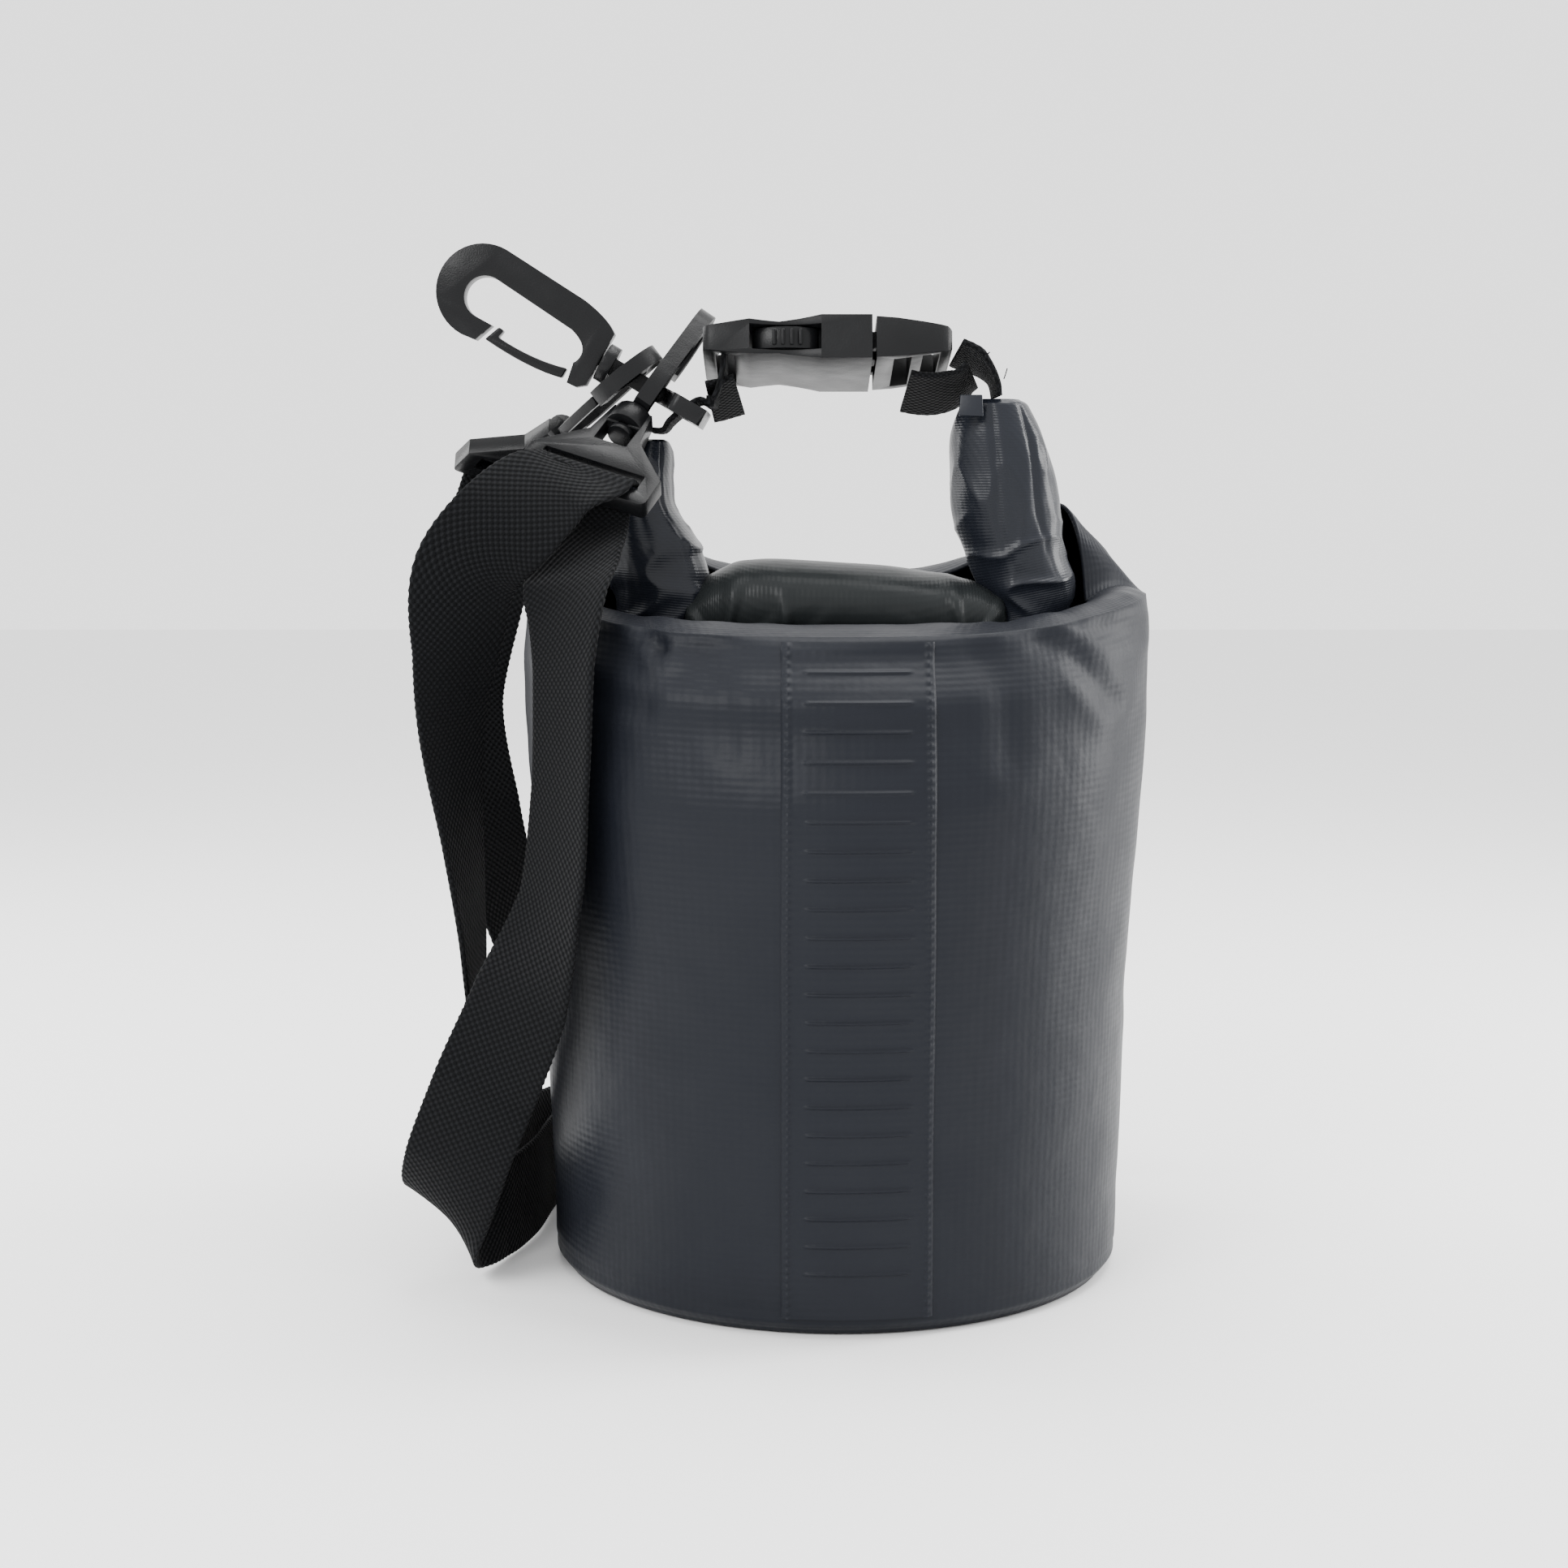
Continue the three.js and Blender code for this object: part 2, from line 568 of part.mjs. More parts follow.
// point on a strap hook's base: u along the hook, n out of the base's face
function onBar(name, u, n) {
  const { bar, aim, across } = STRAP_HOOKS[name];
  const dir = aim.clone().sub(bar).normalize();
  return bar.clone().addScaledVector(dir, u).addScaledVector(dir.clone().cross(across).normalize(), n);
}

// front run: through the front hook's slot, down the bag's side, a fold on the floor, then behind the bag
const BAR_DIR = v3(0.91, -0.3, -0.29);
const FRONT_RUN = [
  [onBar('front', 4.6, 0.7), BAR_DIR], [onBar('front', 3.2, 3), BAR_DIR], [onBar('front', 0, 3.6), BAR_DIR],
  [v3(-60.8, -25, 180.6), v3(0.9, -0.35, -0.2)], [v3(-61.4, -33, 172), v3(0.8, -0.58, -0.1)],
  [v3(-62, -42, 163), v3(0.7, -0.7, 0)], [v3(-62.6, -47.3, 149), v3(0.6, -0.8, 0)],
  [v3(-63.6, -48.4, 122), v3(0.57, -0.82, 0)], [v3(-66.4, -47.2, 95), v3(0.62, -0.78, 0.05)],
  [v3(-73.5, -45.8, 72), v3(0.9, -0.35, 0.25)], [v3(-82.5, -43.5, 50), v3(0.95, -0.1, 0.3)],
  [v3(-90, -39.5, 31), v3(0.93, -0.2, -0.1)], [v3(-93.2, -31, 17.5), v3(0.75, -0.3, -0.6)],
  [v3(-88, -21, 13.8), v3(0.2, -0.15, -0.97)], [v3(-81.5, -10, Z_EDGE), DOWN], [v3(-76.5, 8, Z_EDGE), DOWN],
  [v3(-74, 32, Z_EDGE), DOWN], [v3(-70, 62, Z_EDGE), DOWN], [v3(-58, 84, Z_EDGE), DOWN],
  [v3(-46, 92, 15), DOWN], [v3(-35, 93.4, SLIDER_Z), DOWN], [v3(-30.5, 93.8, SLIDER_Z), DOWN],
  [v3(-26.8, 96, SLIDER_Z), DOWN], [v3(-23, 98.6, SLIDER_Z), DOWN], [v3(-21.5, 98.8, SLIDER_Z), DOWN],
];
// return run: over the front bar and down outside the others to the slider's middle bar
const RETURN_RUN = [
  [onBar('front', 4.8, -0.7), BAR_DIR], [onBar('front', 3, -3.4), BAR_DIR], [onBar('front', 0, -4), BAR_DIR],
  [v3(-66.5, -33, 190), v3(0.93, -0.2, -0.3)], [v3(-75, -36.5, 182.5), v3(0.95, 0, -0.3)],
  [v3(-85.6, -34.4, 170.5), v3(0.93, 0.25, -0.1)], [v3(-88.8, -29, 152), v3(0.75, 0.66, 0)],
  [v3(-90.6, -27, 134), v3(0.5, 0.86, 0)], [v3(-88.6, -26, 108), v3(0.25, 0.97, 0)],
  [v3(-87, -23.5, 86), v3(0.1, 1, 0)], [v3(-87, -13, 62), v3(0, 0.95, 0.3)],
  [v3(-87, 2, 40), v3(0, 0.75, 0.66)], [v3(-86.5, 19, 24), v3(0, 0.4, 0.92)],
  [v3(-84, 38, 16), v3(0, 0.1, 1)], [v3(-79, 62, Z_EDGE), UP], [v3(-66, 86, Z_EDGE), UP],
  [v3(-46, 98.5, 15), UP], [v3(-34, 100.6, SLIDER_Z), UP], [v3(-20, 100.8, SLIDER_Z), UP],
];
// rear run: sewn round the rear hook's bar, down behind the others, along the back of the bag and back
const REAR_RUN = [
  [onBar('rear', 4.4, 0), v3(0.83, 0.48, -0.3)], [onBar('rear', 2.6, 3), v3(0.83, 0.48, -0.3)],
  [onBar('rear', -1.6, 3.6), v3(0.83, 0.48, -0.3)], [v3(-86, 42, 186), v3(0.9, 0.4, -0.1)],
  [v3(-92, 36, 162), v3(0.9, 0.4, 0)], [v3(-95.5, 29, 136), v3(0.75, 0.65, 0)],
  [v3(-90.5, 25, 109), v3(0.7, 0.7, 0)], [v3(-83, 24, 83), v3(0.5, 0.86, 0)],
  [v3(-77, 28, 60), v3(0.2, 0.95, 0.1)], [v3(-69, 38, 40), v3(-0.1, 0.7, 0.7)],
  [v3(-59, 51, 24), v3(-0.2, 0.3, 0.93)], [v3(-45, 65, 14.5), UP], [v3(-24, 75.5, Z_EDGE), UP],
  [v3(5, 79.5, Z_EDGE), UP], [v3(34, 77, Z_EDGE), UP], [v3(51, 79, Z_EDGE), UP], [v3(55, 88, Z_EDGE), UP],
  [v3(44, 95.5, Z_EDGE), UP], [v3(20, 94.6, 14), UP], [v3(-6, 93.6, SLIDER_Z), UP],
  [v3(-12, 93.8, SLIDER_Z), UP], [v3(-15.8, 96, SLIDER_Z), UP], [v3(-19.6, 98.6, SLIDER_Z), UP],
  [v3(-21, 98.8, SLIDER_Z), UP],
];

// three-bar slider standing on edge behind the bag
function strapSlider() {
  const outline = rounded(-12.8, 12.8, -15.6, 15.6, 3);
  const slot = (x) => solid(box(x - 3.7, x + 3.7, -13, 13, -4, 4));
  return solid(plate(outline, 2.2)).subtract(slot(-5.6)).subtract(slot(5.6));
}

// ---------------------------------------------------------------- assembly: bag
add('bag_shell', bagShell(), TARP, 0.45);
add('base_disc', baseDisc(), TARP, 0.5);
add('base_weld_band', baseWeldBand(), TARP, 0.5);
add('seam_strip', seamStrip(), TARP, 0.45);
add('mouth_roll', mouthRoll(), TARP, 0.4);
add('mouth_stiffener', box(-29, 32, -10, 10, ROLL_Z - 0.9, ROLL_Z + 0.9), PLASTIC, 0.5);
add('roll_arm_left', rollArm(LEFT_ARM), TARP, 0.35);
add('roll_arm_right', rollArm(RIGHT_ARM), TARP, 0.35);

// ---------------------------------------------------------------- assembly: buckle and handle webbing
add('buckle_housing', buckleHousing(), PLASTIC, 0.35, buckleFrame);
add('buckle_plug', bucklePlug(), PLASTIC, 0.35, buckleFrame);
add('latch_front', latch(-1), PLASTIC, 0.35, buckleFrame);
add('latch_rear', latch(1), PLASTIC, 0.35, buckleFrame);
add('handle_webbing_left', ribbon(HANDLE_LEFT), WEBBING, 0.9);
add('handle_webbing_right', ribbon(HANDLE_RIGHT), WEBBING, 0.9);

// ---------------------------------------------------------------- assembly: hooks
const carryFrame = basis(CARRY_AT, CARRY_DIR, CARRY_SPINE);
add('carry_hook_base', carryBase(), PLASTIC, 0.35, basis(CARRY_AT, CARRY_DIR, v3(0, 1, 0)));
add('carry_hook_body', hookBody(1, CARRY_T, CARRY_STEM, [4.2, 6]), PLASTIC, 0.35, carryFrame);
add('carry_hook_gate', hookGate(1, CARRY_T), PLASTIC, 0.35, carryFrame);
strapHook('front', STRAP_HOOKS.front, true);
strapHook('rear', STRAP_HOOKS.rear, false);

// ---------------------------------------------------------------- assembly: shoulder strap
add('strap_front_run', ribbon(FRONT_RUN), WEBBING, 0.9);
add('strap_return_run', ribbon(RETURN_RUN), WEBBING, 0.9);
add('strap_rear_run', ribbon(REAR_RUN), WEBBING, 0.9);
add('strap_slider', strapSlider(), PLASTIC, 0.35, basis(v3(-21.3, 96.2, SLIDER_Z), v3(1, 0, 0), UP));

export default group;
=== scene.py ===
"""Visual model of the roll-top storage bag. Millimetres inside the builders, metres in Blender."""
import math

import bmesh
import bpy
import numpy as np
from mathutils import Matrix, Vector, noise


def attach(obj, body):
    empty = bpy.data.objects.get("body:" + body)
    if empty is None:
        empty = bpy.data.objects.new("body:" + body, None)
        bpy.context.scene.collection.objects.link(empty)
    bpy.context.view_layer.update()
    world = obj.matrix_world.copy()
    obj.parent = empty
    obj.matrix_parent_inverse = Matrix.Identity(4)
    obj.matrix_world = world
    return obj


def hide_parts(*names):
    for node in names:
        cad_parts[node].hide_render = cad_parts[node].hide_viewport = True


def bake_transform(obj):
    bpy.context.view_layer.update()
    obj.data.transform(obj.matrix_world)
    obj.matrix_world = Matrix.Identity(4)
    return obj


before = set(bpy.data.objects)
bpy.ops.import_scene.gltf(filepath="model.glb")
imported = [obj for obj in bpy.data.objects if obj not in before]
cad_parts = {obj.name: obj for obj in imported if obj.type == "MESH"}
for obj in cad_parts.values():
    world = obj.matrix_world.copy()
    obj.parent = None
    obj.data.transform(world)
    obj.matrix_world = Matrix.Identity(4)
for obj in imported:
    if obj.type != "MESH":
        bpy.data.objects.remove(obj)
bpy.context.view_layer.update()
MM = 0.001

# ---------------------------------------------------------------- camera
camera = bpy.data.objects.new("camera", bpy.data.cameras.new("camera"))
bpy.context.scene.collection.objects.link(camera)
camera.data.sensor_width = 36
camera.data.lens = 56.3
camera.location = (-0.0128, -0.6, 0.186)
AIM = Vector((-0.0128, 0, 0.117))
camera.rotation_euler = (AIM - camera.location).to_track_quat("-Z", "Y").to_euler()
bpy.context.scene.camera = camera


# ---------------------------------------------------------------- node helpers
class Mat:
    """A material with a few short ways to wire nodes."""

    def __init__(self, name, color, rough, specular=0.5):
        self.mat = bpy.data.materials.new(name)
        self.mat.use_nodes = True
        self.tree = self.mat.node_tree
        self.shader = self.tree.nodes["Principled BSDF"]
        self.shader.inputs["Base Color"].default_value = (*color, 1)
        self.shader.inputs["Roughness"].default_value = rough
        self.shader.inputs["Specular IOR Level"].default_value = specular
        self.normal = None

    def node(self, kind, **inputs):
        made = self.tree.nodes.new(kind)
        for key, value in inputs.items():
            self.put(made.inputs[key.replace("_", " ")], value)
        return made

    def put(self, socket, value):
        if isinstance(value, bpy.types.NodeSocket):
            self.tree.links.new(value, socket)
        else:
            socket.default_value = value

    def math(self, operation, a, b=0.0):
        made = self.tree.nodes.new("ShaderNodeMath")
        made.operation = operation
        self.put(made.inputs[0], a)
        self.put(made.inputs[1], b)
        return made.outputs[0]

    def place(self):
        return self.tree.nodes.new("ShaderNodeTexCoord").outputs["Object"]

    def uv(self):
        source = self.tree.nodes.new("ShaderNodeUVMap")
        source.uv_map = "cloth"
        parts = self.node("ShaderNodeSeparateXYZ", Vector=source.outputs[0])
        return parts.outputs[0], parts.outputs[1]

    def noise(self, scale, detail=3.0, vector=None):
        made = self.node("ShaderNodeTexNoise", Scale=scale, Detail=detail)
        self.put(made.inputs["Vector"], vector or self.place())
        return made.outputs["Fac"]

    def ranged(self, value, low, high):
        made = self.node("ShaderNodeMapRange", Value=value)
        made.inputs["To Min"].default_value = low
        made.inputs["To Max"].default_value = high
        return made.outputs[0]

    def mixed(self, factor, low, high):
        made = self.tree.nodes.new("ShaderNodeMix")
        made.data_type = "RGBA"
        self.put(made.inputs["Factor"], factor)
        made.inputs["A"].default_value = (*low, 1)
        made.inputs["B"].default_value = (*high, 1)
        return made.outputs["Result"]

    def bump(self, height, distance, strength=1.0):
        made = self.node("ShaderNodeBump", Height=height, Distance=distance, Strength=strength)
        if self.normal:
            self.tree.links.new(self.normal, made.inputs["Normal"])
        self.normal = made.outputs["Normal"]
        self.put(self.shader.inputs["Normal"], self.normal)


SCRIM_WEFT, SCRIM_WARP = 0.0017, 0.0021  # thread pitches in the cloth, in metres


def tarpaulin(name, rough, low, high, ribs=1.0, crumple=1.0, gloss=0.12):
    """Coated cloth: the scrim's threads show through a satin skin."""
    m = Mat(name, low, rough, gloss)
    u, v = m.uv()
    wide = m.noise(38.0, 4.0)
    m.put(m.shader.inputs["Base Color"], m.mixed(wide, low, high))
    m.put(m.shader.inputs["Roughness"], m.ranged(m.noise(90.0, 3.0), rough - 0.07, rough + 0.09))
    weft = m.math("SINE", m.math("MULTIPLY", v, 2 * math.pi / SCRIM_WEFT))
    warp = m.math("SINE", m.math("MULTIPLY", u, 2 * math.pi / SCRIM_WARP))
    weft = m.math("MULTIPLY", weft, m.ranged(m.noise(60.0, 2.0), 0.1, 1.0))
    m.bump(m.noise(26.0, 3.0), 0.0011 * crumple)
    m.bump(m.noise(170.0, 3.0), 0.00022 * crumple)
    m.bump(m.math("ADD", weft, m.math("MULTIPLY", warp, 0.35)), 0.00003 * ribs)
    return m.mat


def weave(name, pitch, depth, low=(0.0022, 0.0024, 0.0028), high=(0.0078, 0.0082, 0.0092)):
    """Plain weave: thread crowns alternate along and across the webbing, with a painted highlight on the
    crowns and painted shade in the valleys.
    """
    m = Mat(name, low, 0.84, 0.08)
    u, v = m.uv()
    across = m.math("SINE", m.math("MULTIPLY", u, 2 * math.pi / pitch))
    length = m.math("SINE", m.math("MULTIPLY", v, 2 * math.pi / pitch))
    crown = m.math("MULTIPLY", across, length)
    fibre = m.noise(1500.0, 2.0)
    height = m.math("ADD", crown, m.math("MULTIPLY", fibre, 0.5))
    # painted shade and highlight: the colour is dark in the valleys between threads and light on the thread
    # crowns, with random fibre tone mixed in
    m.put(m.shader.inputs["Base Color"], m.mixed(m.ranged(height, 0.0, 1.0), low, high))
    m.bump(height, depth)
    m.shader.inputs["Sheen Weight"].default_value = 0.02
    m.shader.inputs["Sheen Roughness"].default_value = 0.45
    return m.mat


def plastic(name, rough=0.36):
    """Moulded nylon: a satin skin with fine texture and soft wear."""
    m = Mat(name, (0.0035, 0.0037, 0.0042), rough, 0.15)
    dark, light = (0.0028, 0.003, 0.0034), (0.0058, 0.006, 0.0066)
    m.put(m.shader.inputs["Base Color"], m.mixed(m.noise(55.0), dark, light))
    m.put(m.shader.inputs["Roughness"], m.ranged(m.noise(120.0, 4.0), rough - 0.08, rough + 0.12))
    m.bump(m.noise(2600.0, 2.0), 0.00004)
    m.bump(m.noise(140.0, 2.0), 0.00016)
    return m.mat


TARP = tarpaulin("tarp_body", 0.44, (0.0052, 0.0062, 0.0092), (0.0085, 0.0096, 0.013))
TARP_ROLL = tarpaulin("tarp_roll", 0.36, (0.009, 0.0105, 0.0115), (0.015, 0.0172, 0.0175), 0.8, 0.8)
TARP_ARM = tarpaulin("tarp_arm", 0.3, (0.0055, 0.0068, 0.0102), (0.0095, 0.011, 0.0155), 0.8, 0.7, 0.2)
WEBBING = weave("webbing_coarse", 0.0018, 0.00022)
THREAD = weave("sewing_thread", 0.0006, 0.00008, (0.004, 0.0042, 0.005), (0.014, 0.0145, 0.016))
NYLON = plastic("moulded_nylon")
NYLON_GLOSS = plastic("moulded_nylon_gloss", 0.27)


# ---------------------------------------------------------------- mesh helpers
def mesh_object(name, points, faces, uvs, material, body="bag", replaces=(), smooth=True):
    mesh = bpy.data.meshes.new(name)
    mesh.from_pydata([tuple(p) for p in np.asarray(points) * MM], [], faces)
    if uvs is not None:
        layer = mesh.uv_layers.new(name="cloth")
        index = np.zeros(len(mesh.loops), int)
        mesh.loops.foreach_get("vertex_index", index)
        layer.data.foreach_set("uv", (np.asarray(uvs)[index] * MM).astype(np.float32).ravel())
    mesh.validate()
    if smooth:
        mesh.shade_smooth()
    made = bpy.data.objects.new(name, mesh)
    bpy.context.scene.collection.objects.link(made)
    mesh.materials.append(material)
    if body:
        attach(made, body)
    if replaces:
        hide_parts(*replaces)
    return made


def grid_faces(rows, cols, wrap_rows=False, wrap_cols=False):
    out = []
    for i in range(rows if wrap_rows else rows - 1):
        k = (i + 1) % rows
        for j in range(cols if wrap_cols else cols - 1):
            n = (j + 1) % cols
            out.append((i * cols + j, i * cols + n, k * cols + n, k * cols + j))
    return out


def ridged(p, scale, seed=0.0):
    """Sharp ridges with soft valleys, from -1 to 1."""
    q = Vector((p[0] * scale + seed, p[1] * scale - seed, p[2] * scale + 2 * seed))
    return 1 - 4 * abs(noise.noise(q))


def soft(p, scale, seed=0.0):
    return noise.noise(Vector((p[0] * scale + seed, p[1] * scale - seed, p[2] * scale + 2 * seed)))


def along(pairs, t):
    if t <= pairs[0][0]:
        return pairs[0][1]
    for (t0, v0), (t1, v1) in zip(pairs, pairs[1:]):
        if t <= t1:
            f = (t - t0) / (t1 - t0)
            return v0 + (v1 - v0) * f * f * (3 - 2 * f)
    return pairs[-1][1]


def apply_modifiers(obj):
    graph = bpy.context.evaluated_depsgraph_get()
    fresh = bpy.data.meshes.new_from_object(obj.evaluated_get(graph))
    obj.modifiers.clear()
    obj.data = fresh


# ---------------------------------------------------------------- bag body
# half widths and half depths of the wall, as (height, half size)
HALF_X = [(0, 66.8), (4, 69.5), (60, 71), (138, 75.5), (164, 75)]
HALF_Y = [(0, 66.8), (4, 69.5), (60, 71), (118, 74), (140, 68), (156, 57)]
RIM_X, RIM_Y, RIM_Z = 75, 57, 156
RIM_RISE = 8  # how much higher the wall stands at the sides than at the front
NECK_X, NECK_Y = 60.5, 17.5
GIRTH_RADIUS = 71  # the wall's usual radius, which the cloth's threads are spread round
CLOTH = 0.9  # drawn thickness of the cloth
FOOT_Z, WELD_Z = 9, 5.0  # folds fade out below the first height; a groove runs round at the second
# creases of the front panel, as (x, z) lines with a depth and a width
CREASES = [
    ([(-58, 172), (-50, 163), (-40, 153.6)], 1.9, 2.6),
    ([(-40, 153.6), (-13, 156), (19, 157.3), (39, 158.7)], 1.1, 2.2),
    ([(-66, 150), (-56, 143), (-44, 141)], 1.0, 4.5),
    ([(39, 158.7), (52, 152), (62, 141)], 1.2, 4.0),
    ([(-30, 152), (-26, 143), (-25, 132)], 0.7, 4.0),
    ([(30, 152), (36, 144), (37, 130)], 0.7, 4.5),
    ([(44, 166), (56, 158), (70, 156)], 1.3, 3.2),
]


def line_distance(x, z, line):
    best = 1e9
    for (x0, z0), (x1, z1) in zip(line, line[1:]):
        ax, az = x1 - x0, z1 - z0
        t = max(0.0, min(1.0, ((x - x0) * ax + (z - z0) * az) / (ax * ax + az * az)))
        best = min(best, math.hypot(x - x0 - ax * t, z - z0 - az * t))
    return best


def body_point(theta, level):
    c, s = math.cos(theta), math.sin(theta)
    side = abs(c) ** 3
    z = level
    return np.array([along(HALF_X, z) * c, along(HALF_Y, z) * s, z + side * RIM_RISE * (z / RIM_Z) ** 6])


def neck_point(theta, t):
    c, s = math.cos(theta), math.sin(theta)
    side, back = abs(c) ** 3, max(0.0, s)
    nx = math.copysign(abs(c) ** 0.55, c) * NECK_X
    ny = math.copysign(abs(s) ** 0.55, s) * NECK_Y
    nz = RIM_Z - 1 + 7 * side + back ** 0.8 * (11 + 46 * c * c)
    rim = np.array([RIM_X * c, RIM_Y * s, RIM_Z + RIM_RISE * side])
    p = rim + (np.array([nx, ny, nz]) - rim) * t
    p[2] += math.sin(math.pi * t) * (2.5 + 4 * back)
    return p


def body_relief(p, theta, t):
    """Folds and dents, in millimetres out of the cloth."""
    high = min(1.0, max(0.0, (p[2] - 95) / 55))
    out = 0.55 * soft(p, 0.028, 3.1) + 0.5 * high * soft(p, 0.05, 8.0)
    out += 0.22 * soft((p[0], p[1], p[2] * 3.2), 0.035, 5.0)
    if p[1] < 0:
        for line, depth, width in CREASES:
            d = line_distance(p[0], p[2], line)
            shoulder, valley = math.exp(-((d - width) / width) ** 2), math.exp(-(d / width) ** 2)
            out += depth * (0.75 * shoulder - 0.85 * valley)
    if t > 0:
        fan = math.sin(theta * 23 + 2.2 * soft(p, 0.06, 1.0)) * math.sin(theta * 9 + 1.0)
        swell = math.sin(math.pi * t)
        out += 0.7 * fan * swell + 0.8 * max(0.0, ridged(p, 0.045, 2.0)) * swell
    return out


def bag_body():
    around = 288
    levels = [0.4, 0.9, 1.6, 2.5, 3.4, 4.2, 5] + list(np.linspace(7, 148, 84)) + [150, 152, 154]
    necks = list(np.linspace(0.0, 1.0, 26))
    rows, uvs, arc = [], [], 0.0
    last = None
    for kind, q in [("wall", z) for z in levels] + [("neck", t) for t in necks]:
        ring = []
        for j in range(around):
            theta = 2 * math.pi * j / around
            p = body_point(theta, q) if kind == "wall" else neck_point(theta, q)
            t = q if kind == "neck" else 0.0
            out = body_relief(p, theta, t)
            if kind == "wall" and q < FOOT_Z:
                out *= q / FOOT_Z
                out -= 0.35 * math.exp(-((q - WELD_Z) / 0.9) ** 2)
            if kind == "neck":
                out *= 1 - 0.8 * q * q
            n = np.array([math.cos(theta), math.sin(theta), 0.9 * t])
            n /= np.linalg.norm(n)
            ring.append(p + n * out)
        ring = np.array(ring)
        if last is not None:
            arc += float(np.mean(np.linalg.norm(ring - last, axis=1)))
        last = ring
        rows.append(ring)
        uvs.append([(2 * math.pi * GIRTH_RADIUS * j / around, arc) for j in range(around)])
    points = np.concatenate(rows)
    made = mesh_object("bag_body", points, grid_faces(len(rows), around, False, True),
                       np.array(uvs).reshape(-1, 2), TARP, "bag", ["bag_shell"])
    thick = made.modifiers.new("cloth", "SOLIDIFY")
    thick.thickness = CLOTH * MM
    thick.offset = -1
    apply_modifiers(made)
    return made


def base_panel():
    """Round base with the weld's ring pressed into it."""
    profile = [(0.01, 0.25), (30, 0.25), (56, 0.3), (58, 0.0), (60, 0.35), (62, 0.0), (64, 0.3),
               (65, 0.9), (64.6, 1.7), (50, 1.8), (0.01, 1.8)]
    around = 160
    points, uvs = [], []
    for r, z in profile:
        for j in range(around):
            a = 2 * math.pi * j / around
            lift = 0.12 * soft((r * math.cos(a), r * math.sin(a), 0), 0.05, 2.0) if 0.2 < z < 0.5 else 0
            points.append((r * math.cos(a), r * math.sin(a), max(0.0, z + lift)))
            uvs.append((points[-1][0], points[-1][1]))
    made = mesh_object("base_panel", points, grid_faces(len(profile), around, False, True), uvs, TARP,
                       "bag", ["base_disc"])
    return made


def base_weld():
    """The turned edge inside the wall, rippled by the weld's teeth."""
    teeth, ripple = 60, 0.15
    profile = [(61.7, 2.2), (64.6, 2.2), (64.6, 9), (63.8, 9), (63.7, 3.2), (61.7, 3.1)]
    around = 160
    points, uvs = [], []
    for r, z in profile:
        for j in range(around):
            a = 2 * math.pi * j / around
            out = r + ripple * math.sin(teeth * a)
            points.append((out * math.cos(a), out * math.sin(a), z))
            uvs.append((r * a, z))
    made = mesh_object("base_weld_inside", points, grid_faces(len(profile), around, True, True), uvs,
                       TARP, "bag", ["base_weld_band"])
    return made


# ---------------------------------------------------------------- seam strip
SEAM_X, SEAM_HALF = 3.5, 17
RIBBED_HALF = 11.5  # the welded lines fade out here, before the borders
FIRST_RIB, RIB_PITCH, RIB_COUNT = 15.1, 6.37, 22
RIBS = [FIRST_RIB + RIB_PITCH * i for i in range(RIB_COUNT)]
BEAD_INSET, BEAD_PITCH = 1.6, 1.9


def seam_relief(x, z):
    """Raised welded lines, a dotted bead down each border."""
    inside = 1 / (1 + math.exp((abs(x - SEAM_X) - RIBBED_HALF) * 3))
    rib = sum(math.exp(-((z - r) / 0.34) ** 2) for r in RIBS if abs(z - r) < 2)
    out = 0.62 * rib * inside
    for edge in (-SEAM_HALF + BEAD_INSET, SEAM_HALF - BEAD_INSET):
        d = x - SEAM_X - edge
        out += 0.55 * math.exp(-(d / 0.6) ** 2) * (0.62 + 0.38 * math.sin(2 * math.pi * z / BEAD_PITCH))
    return out


def seam_strip():
    across = np.linspace(-SEAM_HALF, SEAM_HALF, 120)
    heights = np.linspace(4.6, 155.2, 700)
    points, uvs = [], []
    for z in heights:
        for dx in across:
            x = SEAM_X + dx
            a = along(HALF_X, z)
            b = along(HALF_Y, z)
            y = -b * math.sqrt(max(0.0, 1 - (x / a) ** 2))
            p = np.array([x, y, z])
            theta = math.atan2(y / b, x / a)
            edge = min(1.0, (SEAM_HALF - abs(dx)) / 0.5)
            out = body_relief(p, theta, 0) + 0.2 + 0.55 * edge + seam_relief(x, z) * edge
            n = np.array([x / a / a, y / b / b, 0])
            n /= np.linalg.norm(n)
            points.append(p + n * out)
            uvs.append((x, z))
    made = mesh_object("seam_strip_welded", points, grid_faces(len(heights), len(across)), uvs,
                       TARP, "bag", ["seam_strip"])
    return made


# ---------------------------------------------------------------- rolled mouth and its turned-up ends
DEPTH = np.array([0, 1, 0])


